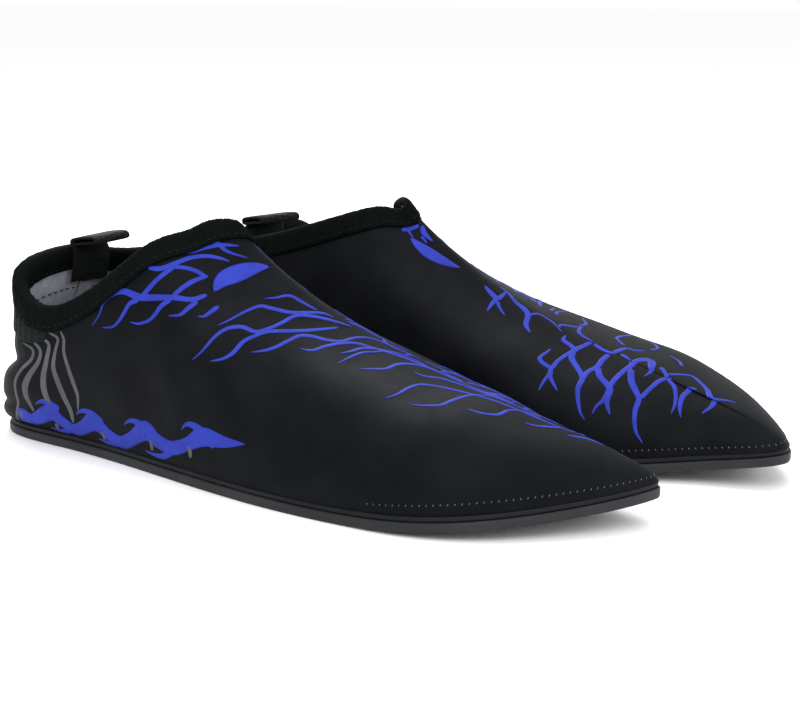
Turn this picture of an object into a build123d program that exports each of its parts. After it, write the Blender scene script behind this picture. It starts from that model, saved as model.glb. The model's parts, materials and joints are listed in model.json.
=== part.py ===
from build123d import *

import math
import os

import numpy as np

# A pair of low slip-on neoprene water shoes, standing side by side.
#
# Each shoe is laid out in its own frame: the heel edge of the sole at x = 0, the toes along +X,
# the ground at z = 0 and the outer side of the right shoe at -Y. The left shoe is the right one
# mirrored in y, turned a little and set beside it. The pair's origin is at the centre of its
# outline on the ground.

# ---- driving dimensions (mm) ----

FLAT_LENGTH = 170.0          # the sole lies flat as far as this
SPRING_LENGTH = 260.0        # and reaches its toe spring here
TOE_SPRING = 7.7
OUTSOLE_THICKNESS = 3.4
MIDSOLE_THICKNESS = 2.0
MIDSOLE_INSET = 0.5
INSOLE_THICKNESS = 2.6
LAYER_GAP = 0.3              # air left between faces that are sewn or folded together
WALL_GAP = 0.5               # between the faceted wall and what is sewn on it
SOLE_GAP = 0.1
WALL_FOOT = OUTSOLE_THICKNESS + MIDSOLE_THICKNESS + 2 * SOLE_GAP

UPPER = 2.5                  # neoprene with a knitted face laminated to each side
BINDING_TAPE = 1.0
BINDING_WIDTH = 8.0
PANEL_THICKNESS = 0.8
SEAM_TAPE_THICKNESS = 0.4
SEAM_TAPE_WIDTH = 8.0

TAB_WIDTH = 22.0
TAB_LENGTH = 13.0
TAB_THICKNESS = 3.4
TAB_SLOT = 0.8
TAB_LEAN = 60.0              # degrees forward of upright at rest
TAB_RISE = 3.4               # of the tab's fold line above the binding
TAIL_THICKNESS = 1.0
TAIL_LENGTH = 12.0
TACK_LENGTH = 7.0
TACK_WIDTH = 1.6
TACK_HEIGHT = 0.5
TAB_STATION = -0.15          # where the tab stands, in stations from the heel

PANEL_FROM = -1.4            # the heel panel's ends, in stations from the heel
PANEL_TO = 1.3
PANEL_DEPTH = 26.0           # of its lower edge below the collar
SEAM_TAPE_FOOT = 0.13        # how far up the wall the seam tape starts, 0 to 1

FLEX_X = 190.0               # the line across the ball of the foot where the shoe bends
FLEX_Z = WALL_FOOT + INSOLE_THICKNESS + 0.6
FLEX_GAP = 0.3
FLEX_HALF_ANGLE = 19.0       # degrees of upper on each side of the line that fold as it bends

LEFT_PLACE = (20.0, 98.5)    # of the left heel beside the right heel
LEFT_TURN = -2.3             # degrees

# ---- the shoe's form: thirteen stations round the sole, starting at the heel ----
# Each station holds the sole outline (x, y), the collar edge (x, y, z), how far the wall leans
# out and up from the sole, and how the wall comes into the collar edge (dx, dy, dz).

STATIONS = np.array([
    # sole        collar          foot of wall   head of wall
    [0, -1,       25, 3, 71,      8, 18,         -3, 0, -29],      # heel
    [13, -25,     24, -27, 66,    9, 9,          4, -3, -33],      # outer heel corner
    [50, -30,     43, -34, 54,    6, 18,         0, -4, -20],      # outer ankle
    [97, -36,     68, -28, 65,    4, 25,         2, -6, -17],      # outer waist
    [146, -43,    84, -19, 79,    2, 27,         9, -12, -22],     # outer midfoot
    [188, -44,    92, -8, 83,     1, 26,         26, -15, -38],    # outer ball
    [235, -32,    96, 0, 86,      -1, 38,        46, -13, -56],    # outer toes
    [272, 11,     103, 6, 86,     -16, 17,       54, -1, -50],     # tip
    [246, 26,     102, 9, 83,     -5, 24,        47, 12, -48],     # inner toes
    [198, 44,     96, 15, 84,     1, 30,         26, 15, -43],     # inner ball
    [121, 36,     79, 24, 79,     3, 27,         7, 9, -23],       # inner waist
    [49, 31,      44, 28, 69,     4, 23,         0, 4, -17],       # inner ankle
    [12, 23,      23, 22, 67,     5, 24,         -2, 4, -21],      # inner heel corner
], float)
COUNT = len(STATIONS)

RING_POINTS = 3 * COUNT      # corners round each ring of a soft wall, which is faceted
WALL_RINGS = 11              # up the wall


def periodic_slopes(rows):
    """Slopes at the stations of the closed cubic spline through them, a unit step apart."""
    size = len(rows)
    matrix = 4 * np.eye(size) + np.roll(np.eye(size), 1, axis=1) + np.roll(np.eye(size), -1, axis=1)
    return np.linalg.solve(matrix, 3 * (np.roll(rows, -1, axis=0) - np.roll(rows, 1, axis=0)))


SLOPES = periodic_slopes(STATIONS)


def station(u):
    """Design values and their slopes at u stations round the sole, for an array u."""
    u = np.mod(np.atleast_1d(u), COUNT)
    first = np.floor(u).astype(int) % COUNT
    last = (first + 1) % COUNT
    t = (u - np.floor(u))[:, None]
    a, b, da, db = STATIONS[first], STATIONS[last], SLOPES[first], SLOPES[last]
    c2 = 3 * (b - a) - 2 * da - db
    c3 = 2 * (a - b) + da + db
    return a + da * t + c2 * t**2 + c3 * t**3, da + 2 * c2 * t + 3 * c3 * t**2


def sole_rise(x):
    """Height of the sole's underside: flat, then an arc up to the toe spring."""
    reach = SPRING_LENGTH - FLAT_LENGTH
    radius = (reach**2 + TOE_SPRING**2) / (2 * TOE_SPRING)
    past = np.clip(np.asarray(x, float) - FLAT_LENGTH, 0, None)
    return radius - np.sqrt(radius**2 - past**2)


def outward(slope):
    """Unit vectors that point out of the sole outline."""
    length = np.hypot(slope[:, 0], slope[:, 1])
    return np.stack([slope[:, 1] / length, -slope[:, 0] / length, np.zeros(len(slope))], axis=1)


def wall(u, r):
    """Points of the wall's outer face: a Bezier curve from the sole (r = 0) to the collar (r = 1).
    Both arguments have one value for each point."""
    value, slope = station(u)
    r = np.asarray(r, float).reshape(-1, 1)
    foot = np.column_stack([value[:, 0], value[:, 1], sole_rise(value[:, 0]) + WALL_FOOT])
    low = foot + outward(slope) * value[:, 5:6] + np.array([0, 0, 1]) * value[:, 6:7]
    collar = value[:, 2:5]
    high = collar + value[:, 7:10]
    return (1 - r)**3 * foot + 3 * (1 - r)**2 * r * low + 3 * (1 - r) * r**2 * high + r**3 * collar


def wall_normal(u, r):
    """Unit vectors that point out of the wall."""
    step = 0.01
    u, r = np.asarray(u, float), np.asarray(r, float)
    low, high = np.clip(r - step, 0, 1), np.clip(r + step, 0, 1)
    along = wall(u + step, r) - wall(u - step, r)
    up = wall(u, high) - wall(u, low)
    normal = np.cross(along, up)
    normal[r <= 0, 2] = 0
    return normal / np.linalg.norm(normal, axis=1, keepdims=True)


def offset_wall(u, r, out):
    """Points that stand off the wall's outer face by `out`, which is negative inside it."""
    return wall(u, r) + wall_normal(u, r) * np.asarray(out, float).reshape(-1, 1)


def depth_to_r(u, depth):
    """How far up each wall (0 to 1) lies the line that is `depth` below the collar edge."""
    steps = np.linspace(1, 0, 81)
    result = []
    for one in u:
        line = wall(np.full(len(steps), one), steps)
        run = np.concatenate([[0], np.cumsum(np.linalg.norm(np.diff(line, axis=0), axis=1))])
        result.append(np.interp(depth, run, steps))
    return np.array(result)


def collar_point(u, out, rise):
    """Points near the collar edge: `out` off the wall, and `rise` above the edge or below it."""
    if rise < 0:
        return offset_wall(u, depth_to_r(u, -rise), np.full(len(u), out))
    top = np.ones(len(u))
    up = wall(u, top) - wall(u, top - 0.02)
    up = up / np.linalg.norm(up, axis=1, keepdims=True)
    return offset_wall(u, top, np.full(len(u), out)) + up * rise


# ---- solids from rings ----

ROUND = np.arange(RING_POINTS) * COUNT / RING_POINTS


def corner(point):
    return Vector(*(float(value) for value in point))


def facets(near, far):
    """The two triangles between two corners of one line and the two beside them."""
    a, b = (corner(point) for point in near)
    c, d = (corner(point) for point in far)
    return [Face(Wire.make_polygon([a, b, d])), Face(Wire.make_polygon([a, d, c]))]


def strip(first, second, closed):
    """Facets between two lines of corners."""
    count = len(first) if closed else len(first) - 1
    faces = []
    for k in range(count):
        after = (k + 1) % len(first)
        faces += facets((first[k], first[after]), (second[k], second[after]))
    return faces


def common(first, second):
    """What two solids share, as one shape."""
    solids = [solid for piece in first.intersect(second) for solid in piece.solids()]
    return solids[0] if len(solids) == 1 else Compound(solids)


def solid_of_rings(rings):
    """A closed solid whose skin joins each closed ring to the next, and the last to the first."""
    faces = []
    for first, second in zip(rings, rings[1:] + rings[:1]):
        faces += strip(first, second, closed=True)
    return Solid(Shell(faces))


def wall_shell(outer, inner):
    """The wall between two offsets of its outer face, from the sole to the collar."""
    steps = np.linspace(0, 1, WALL_RINGS)
    path = [(r, outer) for r in steps] + [(r, inner) for r in steps[::-1]]
    return solid_of_rings([
        offset_wall(ROUND, np.full(RING_POINTS, r), np.full(RING_POINTS, out)) for r, out in path
    ])


def patch(u, rows, outer, inner):
    """A piece laid along the wall: each row has one value of r for each u."""
    outside = [offset_wall(u, r, np.full(len(u), outer)) for r in rows]
    inside = [offset_wall(u, r, np.full(len(u), inner)) for r in rows]
    faces = []
    for lines in (outside, inside):
        for first, second in zip(lines, lines[1:]):
            faces += strip(first, second, closed=False)
    for end in (0, -1):
        faces += strip(outside[end], inside[end], closed=False)
        faces += strip([line[end] for line in outside], [line[end] for line in inside], closed=False)
    return Solid(Shell(faces))


def stations_across(width, depth, points=7):
    """Values of u that run `width` along the wall, centred on the tab, `depth` below the collar."""
    u = np.linspace(TAB_STATION - 1, TAB_STATION + 1, 81)
    line = wall(u, depth_to_r(u, depth))
    run = np.concatenate([[0], np.cumsum(np.linalg.norm(np.diff(line, axis=0), axis=1))])
    middle = np.interp(TAB_STATION, u, run)
    return np.interp(np.linspace(middle - width / 2, middle + width / 2, points), run, u)


# ---- soles ----

def outline(inset):
    value, slope = station(ROUND)
    flat = np.column_stack([value[:, 0], value[:, 1], np.zeros(RING_POINTS)])
    return flat - outward(slope) * inset


def bent_slab(bottom, top):
    """The layer between two heights above the sole's underside, wider than the shoe."""
    back, middle, front, side = -40.0, (FLAT_LENGTH + 300.0) / 2, 300.0, 80.0

    def run(height):
        flat_end = Vector(FLAT_LENGTH, -side, height)
        arc = [Vector(x, -side, height + float(sole_rise(x))) for x in (middle, front)]
        return [
            Edge.make_line(Vector(back, -side, height), flat_end),
            Edge.make_three_point_arc(flat_end, arc[0], arc[1]),
        ]

    low, high = run(bottom), run(top)
    ends = [
        Edge.make_line(low[0] @ 0, high[0] @ 0),
        Edge.make_line(low[1] @ 1, high[1] @ 1),
    ]
    return Solid.extrude(Face(Wire(low + high + ends)), Vector(0, 2 * side, 0))


def plate(ring, bottom, top):
    """A layer of the sole with the outline of the given ring."""
    base = Face(Wire.make_polygon([corner(point) for point in ring - np.array([0, 0, 5.0])]))
    return common(Solid.extrude(base, Vector(0, 0, 60)), bent_slab(bottom, top))


def insole_ring():
    """The outline that an insole of full thickness has inside the lining."""
    steps = np.linspace(0, 0.4, 41)
    ring = []
    for u in ROUND:
        line = offset_wall(np.full(41, u), steps, np.full(41, -(UPPER + 2 * LAYER_GAP)))
        height = line[:, 2] - sole_rise(line[:, 0])
        top = np.array([
            np.interp(WALL_FOOT + INSOLE_THICKNESS, height, line[:, axis]) for axis in (0, 1)
        ])
        _, slope = station([u])
        away = outward(slope)[0, :2]
        inside = min((line[0, :2] @ away, top @ away))
        foot = line[0, :2]
        ring.append([*(foot - away * (foot @ away - inside)), 0])
    return np.array(ring)


# ---- the flex line across the ball of the foot ----

def side_prism(points):
    """A solid with the given side view, wider than the shoe."""
    corners = [Vector(x, -90, z) for x, z in points]
    return Solid.extrude(Face(Wire.make_polygon(corners)), Vector(0, 180, 0))


def flex_zones():
    """The rear, front and folding zones of a shoe."""
    half, reach = FLEX_GAP / 2, 110.0
    spread = math.tan(math.radians(FLEX_HALF_ANGLE)) * reach
    rear = side_prism([
        (-50, -20), (FLEX_X - half, -20), (FLEX_X - half, FLEX_Z),
        (FLEX_X - half - spread, FLEX_Z + reach), (-50, FLEX_Z + reach),
    ])
    front = side_prism([
        (330, -20), (FLEX_X + half, -20), (FLEX_X + half, FLEX_Z),
        (FLEX_X + half + spread, FLEX_Z + reach), (330, FLEX_Z + reach),
    ])
    start = 2.0              # the fold's point is cut off this far up
    narrow = math.tan(math.radians(FLEX_HALF_ANGLE)) * start
    fold = side_prism([
        (FLEX_X - narrow + LAYER_GAP, FLEX_Z + start), (FLEX_X + narrow - LAYER_GAP, FLEX_Z + start),
        (FLEX_X + spread - LAYER_GAP, FLEX_Z + reach), (FLEX_X - spread + LAYER_GAP, FLEX_Z + reach),
    ])
    return rear, front, fold


def split_sole(name, solid, zones):
    return {f"{name}_rear": common(solid, zones[0]), f"{name}_front": common(solid, zones[1])}


def split_wall(name, solid, zones):
    parts = split_sole(name, solid, zones)
    parts[f"{name}_fold"] = common(solid, zones[2])
    return parts


# ---- pieces at the collar and heel ----

def collar_binding():
    """A tape folded over the collar edge, with one leaf outside the upper and one in the shoe."""
    inner_face = -(UPPER + WALL_GAP)
    out, back = BINDING_TAPE + WALL_GAP, inner_face - BINDING_TAPE
    top = LAYER_GAP + BINDING_TAPE
    middle = -BINDING_WIDTH / 2
    section = [
        (out, -BINDING_WIDTH), (out, middle), (out, -0.6), (out - 1.3, top),
        (back + 1.3, top), (back, -0.6), (back, middle), (back, -BINDING_WIDTH),
        (inner_face, -BINDING_WIDTH), (inner_face, middle), (inner_face, LAYER_GAP),
        (WALL_GAP, LAYER_GAP), (WALL_GAP, middle), (WALL_GAP, -BINDING_WIDTH),
    ]
    return solid_of_rings([collar_point(ROUND, *point) for point in section])


def heel_panel():
    """The elastic panel sewn on round the heel below the binding."""
    u = np.linspace(PANEL_FROM, PANEL_TO, 9)
    depths = np.linspace(BINDING_WIDTH + 0.3, PANEL_DEPTH, 4)
    rows = [depth_to_r(u, depth) for depth in depths]
    return patch(u, rows, WALL_GAP + PANEL_THICKNESS, WALL_GAP)


def heel_seam_tape():
    """The tape that covers the heel seam inside the shoe, from the tab's tail to the insole."""
    u = stations_across(SEAM_TAPE_WIDTH, TAIL_LENGTH + 8, 5)
    top = depth_to_r(u, TAIL_LENGTH + 1.5)
    inner_face = -(UPPER + WALL_GAP)
    rows = [top + (SEAM_TAPE_FOOT - top) * k for k in np.linspace(0, 1, 5)]
    return patch(u, rows, inner_face, inner_face - SEAM_TAPE_THICKNESS)


TAIL_FACE = -(UPPER + WALL_GAP + BINDING_TAPE + LAYER_GAP)


def tab_tail():
    """The ends of the tab's webbing, sewn down inside the collar."""
    u = stations_across(TAB_WIDTH, TAIL_LENGTH / 2)
    rows = [depth_to_r(u, depth) for depth in np.linspace(0.2, TAIL_LENGTH, 3)]
    return patch(u, rows, TAIL_FACE, TAIL_FACE - TAIL_THICKNESS)


def bar_tacks():
    """Two short bars of dense stitching that hold the tail."""
    face = TAIL_FACE - TAIL_THICKNESS
    bars = []
    for depth in (3.0, 8.0):
        u = stations_across(TACK_LENGTH, depth, 4)
        rows = [depth_to_r(u, depth), depth_to_r(u, depth + TACK_WIDTH)]
        bars.append(patch(u, rows, face, face - TACK_HEIGHT))
    return Compound(bars)


def tab_frame():
    """The tab's fold line: a point on it, its direction and the way the tab leans."""
    u = np.array([TAB_STATION])
    point = collar_point(u, (TAIL_FACE - TAIL_THICKNESS) / 2, TAB_RISE)[0]
    across = (collar_point(u + 0.02, 0, 0) - collar_point(u - 0.02, 0, 0))[0]
    across[2] = 0
    across = across / np.linalg.norm(across)
    forward = np.array([-across[1], across[0], 0])
    lean = math.radians(TAB_LEAN)
    return point, across, forward * math.sin(lean) + np.array([0, 0, math.cos(lean)])


def pull_tab():
    """A loop of webbing that a finger pulls, folded flat."""
    point, across, along = tab_frame()
    plane = Plane(origin=Vector(*point), x_dir=Vector(*along), z_dir=Vector(*across))
    reach = TAB_LENGTH - TAB_THICKNESS
    middle = Pos(reach / 2, 0)
    loop = middle * SlotCenterToCenter(reach, TAB_THICKNESS)
    loop -= middle * SlotCenterToCenter(reach, TAB_SLOT)
    return extrude(plane * loop, TAB_WIDTH / 2, both=True)


# ---- a whole shoe ----

def shoe():
    zones = flex_zones()
    parts = {}
    parts.update(split_sole("outsole", plate(outline(0), 0, OUTSOLE_THICKNESS), zones))
    midsole_foot = OUTSOLE_THICKNESS + SOLE_GAP
    parts.update(split_sole(
        "midsole", plate(outline(MIDSOLE_INSET), midsole_foot, midsole_foot + MIDSOLE_THICKNESS), zones))
    parts.update(split_sole(
        "insole", plate(insole_ring(), WALL_FOOT, WALL_FOOT + INSOLE_THICKNESS), zones))
    parts.update(split_wall("upper", wall_shell(0, -UPPER), zones))
    parts["collar_binding"] = collar_binding()
    parts["heel_panel"] = heel_panel()
    parts["heel_seam_tape"] = heel_seam_tape()
    parts["tab_tail"] = tab_tail()
    parts["bar_tacks"] = bar_tacks()
    parts["pull_tab"] = pull_tab()
    return parts


def placed_left(shape):
    """A piece of the right shoe, mirrored and set down as the left one."""
    return shape.mirror(Plane.XZ).rotate(Axis.Z, LEFT_TURN).translate(Vector(*LEFT_PLACE, 0))


def pair():
    right = shoe()
    parts = {f"right_{name}": shape for name, shape in right.items()}
    parts.update({f"left_{name}": placed_left(shape) for name, shape in right.items()})
    box = Compound([solid for shape in parts.values() for solid in shape.solids()]).bounding_box()
    centre = Vector(-(box.min.X + box.max.X) / 2, -(box.min.Y + box.max.Y) / 2, -box.min.Z)
    return {name: shape.translate(centre) for name, shape in parts.items()}, centre


def main():
    parts, centre = pair()
    print("right heel at", tuple(round(value, 3) for value in centre))
    os.makedirs("parts", exist_ok=True)
    for name, shape in parts.items():
        export_step(shape, f"parts/{name}.step")


if __name__ == "__main__":
    main()
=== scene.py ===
import json
import math

import bmesh
import bpy
import numpy as np
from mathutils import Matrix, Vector


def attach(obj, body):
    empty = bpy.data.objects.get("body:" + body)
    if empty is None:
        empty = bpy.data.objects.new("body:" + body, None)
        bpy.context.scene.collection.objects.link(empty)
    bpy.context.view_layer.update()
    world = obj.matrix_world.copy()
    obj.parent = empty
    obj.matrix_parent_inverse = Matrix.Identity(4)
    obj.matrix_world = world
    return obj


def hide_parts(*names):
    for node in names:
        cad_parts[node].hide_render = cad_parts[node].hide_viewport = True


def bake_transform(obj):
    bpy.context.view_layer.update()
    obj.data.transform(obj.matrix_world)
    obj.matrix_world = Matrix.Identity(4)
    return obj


bl_info = {
    "name": "Neoprene Water Shoes",
    "version": (1, 0, 0),
    "blender": (4, 5, 0),
    "location": "View3D > Sidebar > Water Shoes",
    "description": "Builds a pair of low neoprene water shoes piece by piece",
    "category": "Add Mesh",
}

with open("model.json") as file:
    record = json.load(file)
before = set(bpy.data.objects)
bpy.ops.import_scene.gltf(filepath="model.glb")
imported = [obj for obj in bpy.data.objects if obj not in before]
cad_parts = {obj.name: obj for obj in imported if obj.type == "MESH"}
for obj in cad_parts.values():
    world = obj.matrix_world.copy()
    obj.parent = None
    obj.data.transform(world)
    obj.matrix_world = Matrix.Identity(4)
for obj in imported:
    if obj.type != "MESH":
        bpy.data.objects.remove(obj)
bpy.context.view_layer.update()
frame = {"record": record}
JOINTS = {joint["name"]: joint for joint in frame["record"]["behaviour"]["joints"]}
SIDES = ("right", "left")

# ---- the shoe's form, in millimetres in the shoe's own frame, as the CAD part has it ----

FLEX_X = 190.0
FLEX_Z = 8.8
LEFT_TURN = -2.3
FLAT_LENGTH, SPRING_LENGTH, TOE_SPRING = 170.0, 260.0, 7.7
OUTSOLE, MIDSOLE, WALL_FOOT = 3.4, 2.0, 5.6
UPPER = 2.5
TAB_STATION = -0.15

# sole (x, y), collar (x, y, z), foot of the wall (out, up), head of the wall (dx, dy, dz)
STATIONS = np.array([
    [0, -1,       25, 3, 71,      8, 18,         -3, 0, -29],      # heel
    [13, -25,     24, -27, 66,    9, 9,          4, -3, -33],      # outer heel corner
    [50, -30,     43, -34, 54,    6, 18,         0, -4, -20],      # outer ankle
    [97, -36,     68, -28, 65,    4, 25,         2, -6, -17],      # outer waist
    [146, -43,    84, -19, 79,    2, 27,         9, -12, -22],     # outer midfoot
    [188, -44,    92, -8, 83,     1, 26,         26, -15, -38],    # outer ball
    [235, -32,    96, 0, 86,      -1, 38,        46, -13, -56],    # outer toes
    [272, 11,     103, 6, 86,     -16, 17,       54, -1, -50],     # tip
    [246, 26,     102, 9, 83,     -5, 24,        47, 12, -48],     # inner toes
    [198, 44,     96, 15, 84,     1, 30,         26, 15, -43],     # inner ball
    [121, 36,     79, 24, 79,     3, 27,         7, 9, -23],       # inner waist
    [49, 31,      44, 28, 69,     4, 23,         0, 4, -17],       # inner ankle
    [12, 23,      23, 22, 67,     5, 24,         -2, 4, -21],      # inner heel corner
], float)
COUNT = len(STATIONS)
STATION_MM = 55.0            # mean run between two stations, for the weave's scale

# folds that the soft wall takes round the heel: height, depth and half height
HEEL_FOLDS = ((34.0, 4.0, 4.5), (15.5, 2.4, 2.8))
HEEL_FOLD_SPREAD = 1.25      # stations to each side of the heel


def periodic_slopes(rows):
    """Slopes at the stations of the closed cubic spline through them, a unit step apart."""
    size = len(rows)
    matrix = 4 * np.eye(size) + np.roll(np.eye(size), 1, axis=1) + np.roll(np.eye(size), -1, axis=1)
    return np.linalg.solve(matrix, 3 * (np.roll(rows, -1, axis=0) - np.roll(rows, 1, axis=0)))


SLOPES = periodic_slopes(STATIONS)


def station(u):
    """Design values and slopes at u stations round the sole: a cubic between each two stations."""
    u = np.mod(u, COUNT)
    first = np.floor(u).astype(int) % COUNT
    last = (first + 1) % COUNT
    t = (u - np.floor(u))[..., None]
    a, b, da, db = STATIONS[first], STATIONS[last], SLOPES[first], SLOPES[last]
    c2 = 3 * (b - a) - 2 * da - db
    c3 = 2 * (a - b) + da + db
    return a + da * t + c2 * t**2 + c3 * t**3, da + 2 * c2 * t + 3 * c3 * t**2


def sole_rise(x):
    """Height of the sole's underside: flat, then an arc up to the toe spring."""
    reach = SPRING_LENGTH - FLAT_LENGTH
    radius = (reach**2 + TOE_SPRING**2) / (2 * TOE_SPRING)
    past = np.clip(np.asarray(x, float) - FLAT_LENGTH, 0, None)
    return radius - np.sqrt(radius**2 - past**2)


def outward(slope):
    """Unit vectors that point out of the sole outline."""
    length = np.hypot(slope[..., 0], slope[..., 1])
    return np.stack([slope[..., 1] / length, -slope[..., 0] / length, 0 * length], axis=-1)


def from_heel(u):
    """Signed stations from the heel, positive towards the outer side."""
    return np.mod(u + COUNT / 2, COUNT) - COUNT / 2


def smooth_wall(u, r):
    """The wall without its relief: a Bezier curve in r from the sole (0) to the collar (1)."""
    value, slope = station(u)
    r = np.asarray(r, float)[..., None]
    x, y = value[..., 0], value[..., 1]
    foot = np.stack([x, y, sole_rise(x) + WALL_FOOT], axis=-1)
    low = foot + outward(slope) * value[..., 5:6] + np.array([0, 0, 1.0]) * value[..., 6:7]
    collar = value[..., 2:5]
    high = collar + value[..., 7:10]
    return (1 - r)**3 * foot + 3 * (1 - r)**2 * r * low + 3 * (1 - r) * r**2 * high + r**3 * collar


def bell(value, middle, half):
    """A bump of height 1 at `middle`: exp of minus ((value - middle) / half) squared."""
    return np.exp(-((value - middle) / half)**2)


def relief(u, r, point):
    """How far the wall stands in (negative) or out, in mm: the heel's folds, the shirring under the
    elastic panel, slack ripples over the instep and a pinch where the wall is sewn to the sole."""
    heel = from_heel(u)
    x, z = point[..., 0], point[..., 2]
    out = np.zeros(np.shape(u))
    for height, depth, half in HEEL_FOLDS:
        bent = height + 2.0 * np.sin(2.1 * heel + height)
        out -= depth * bell(heel, 0.1, HEEL_FOLD_SPREAD) * bell(z, bent, half)
    out += 0.9 * bell(heel, 0.0, 1.5) * bell(z, 24.5, 5.0)
    out += 0.22 * np.sin(34 * heel + 2 * np.sin(3 * heel)) * bell(heel, 0.1, 1.1) * bell(z, 36, 6)
    out += 0.35 * np.sin(0.16 * x + 0.11 * z + 1.3 * np.sin(0.05 * x)) * bell(z, 40, 16) * bell(x, 105, 45)
    out += 0.3 * np.sin(0.1 * x - 0.21 * z) * bell(r, 0.35, 0.2)
    out -= 0.7 * bell(r, 0.0, 0.035)
    return out * np.clip((1 - r) / 0.12, 0, 1)


def raw_normal(surface, u, r, step=0.004):
    """Unit normals of a surface in (u, r), out of the shoe: the cross product of its tangents."""
    low, high = np.clip(r - step, 0, 1), np.clip(r + step, 0, 1)
    normal = np.cross(surface(u + step, r) - surface(u - step, r), surface(u, high) - surface(u, low))
    return normal / np.linalg.norm(normal, axis=-1, keepdims=True)


def wall(u, r):
    """The wall's outer face with its relief."""
    point = smooth_wall(u, r)
    return point + raw_normal(smooth_wall, u, r) * relief(u, r, point)[..., None]


def offset_wall(u, r, out):
    """Points that stand off the wall's outer face by `out`, which is negative inside it."""
    normal = raw_normal(wall, u, r)
    foot = np.asarray(r) <= 0
    normal[..., 2] = np.where(foot, 0, normal[..., 2])
    normal = normal / np.linalg.norm(normal, axis=-1, keepdims=True)
    return wall(u, r) + normal * np.asarray(out, float)[..., None]


STEPS = np.linspace(1, 0, 121)


def depth_to_r(u, depth):
    """How far up the wall (0 to 1) the lines `depth` mm below the collar lie, for arrays u, depth."""
    u, depth = np.broadcast_arrays(np.asarray(u, float), np.asarray(depth, float))
    names, place = np.unique(u, return_inverse=True)
    place = place.reshape(u.shape)
    line = smooth_wall(names[:, None] + 0 * STEPS, np.broadcast_to(STEPS, (len(names), len(STEPS))))
    run = np.cumsum(np.linalg.norm(np.diff(line, axis=1), axis=-1), axis=1)
    run = np.concatenate([np.zeros((len(names), 1)), run], axis=1)
    result = np.empty(u.shape)
    for k in range(len(names)):
        here = place == k
        result[here] = np.interp(depth[here], run[k], STEPS)
    return result


def near_collar(u, out, rise):
    """Points `out` off the wall, and `rise` above the collar edge, or below it where negative."""
    r = depth_to_r(u, np.clip(-rise, 0, None))
    one = np.ones(np.shape(u))
    up = smooth_wall(u, one) - smooth_wall(u, one - 0.02)
    up = up / np.linalg.norm(up, axis=-1, keepdims=True)
    return offset_wall(u, r, out) + up * np.clip(rise, 0, None)[..., None]


def tape_place(u, out, rise):
    """Points of the collar tape, as near_collar, on directions averaged over the stations around, so
    that the stiff tape turns a tight corner less sharply."""
    r = depth_to_r(u, np.clip(-rise, 0, None))
    names, place = np.unique(u, return_inverse=True)
    near = names[:, None] + np.linspace(-0.75, 0.75, 9)
    edge = np.full(near.shape, 0.97)
    normal = raw_normal(smooth_wall, near, edge).sum(axis=1)
    up = (smooth_wall(near, edge + 0.03) - smooth_wall(near, edge)).sum(axis=1)
    normal = (normal / np.linalg.norm(normal, axis=-1, keepdims=True))[place].reshape(*u.shape, 3)
    up = (up / np.linalg.norm(up, axis=-1, keepdims=True))[place].reshape(*u.shape, 3)
    return smooth_wall(u, r) + normal * out[..., None] + up * np.clip(rise, 0, None)[..., None]


def to_row(points, side):
    """Millimetres in the shoe's frame to metres in the row's frame, mirrored for the left shoe."""
    away = np.asarray(points, float) - np.array([FLEX_X, 0, FLEX_Z])
    if side == "left":
        turn = math.radians(LEFT_TURN)
        x, y = away[..., 0], -away[..., 1]
        away = np.stack([
            x * math.cos(turn) - y * math.sin(turn), x * math.sin(turn) + y * math.cos(turn), away[..., 2],
        ], axis=-1)
    return away / 1000 + np.array(JOINTS[f"{side}_toe_flex"]["pos_m"])


# ---- meshes from grids ----

def grid_faces(rows, cols, rows_close, cols_close):
    """Corner numbers of the quads between neighbours of a grid, as an array of four columns."""
    i = np.arange(rows if rows_close else rows - 1)[:, None]
    j = np.arange(cols if cols_close else cols - 1)[None, :]
    a, b = i * cols + j, i * cols + (j + 1) % cols
    c, d = ((i + 1) % rows) * cols + (j + 1) % cols, ((i + 1) % rows) * cols + j
    return np.stack([a, b, c, d], axis=-1).reshape(-1, 4)


def grid_uv(rows, cols, rows_close, cols_close, row_mm, col_mm):
    """UV of each quad's corners in centimetres, unwrapped across the closing row and column."""
    i = np.arange(rows if rows_close else rows - 1)[:, None]
    j = np.arange(cols if cols_close else cols - 1)[None, :]
    u = np.append(col_mm, 2 * col_mm[-1] - col_mm[-2]) / 10
    v = np.append(row_mm, 2 * row_mm[-1] - row_mm[-2]) / 10
    i, j = np.broadcast_arrays(i, j)
    return np.stack([
        np.stack([u[j], v[i]], -1), np.stack([u[j + 1], v[i]], -1),
        np.stack([u[j + 1], v[i + 1]], -1), np.stack([u[j], v[i + 1]], -1),
    ], axis=2).reshape(-1, 2)


def mesh_object(name, points, faces, materials, uv=None, face_slots=None, side="right"):
    """A smooth mesh object from corner points in metres and quads, turned for the mirrored side."""
    faces = np.asarray(faces)
    if side == "left":
        faces = faces[:, ::-1]
        if uv is not None:
            uv = uv.reshape(len(faces), -1, 2)[:, ::-1].reshape(-1, 2)
    mesh = bpy.data.meshes.new(name)
    mesh.from_pydata(np.asarray(points).reshape(-1, 3), [], faces)
    if uv is not None:
        layer = mesh.uv_layers.new(name="Weave")
        layer.data.foreach_set("uv", np.ascontiguousarray(uv, dtype=np.float32).ravel())
    for material in materials:
        mesh.materials.append(material)
    if face_slots is not None:
        mesh.polygons.foreach_set("material_index", np.ascontiguousarray(face_slots, dtype=np.int32))
    mesh.polygons.foreach_set("use_smooth", np.ones(len(faces), dtype=bool))
    mesh.update()
    piece = bpy.data.objects.new(name, mesh)
    bpy.context.scene.collection.objects.link(piece)
    return piece


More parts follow.
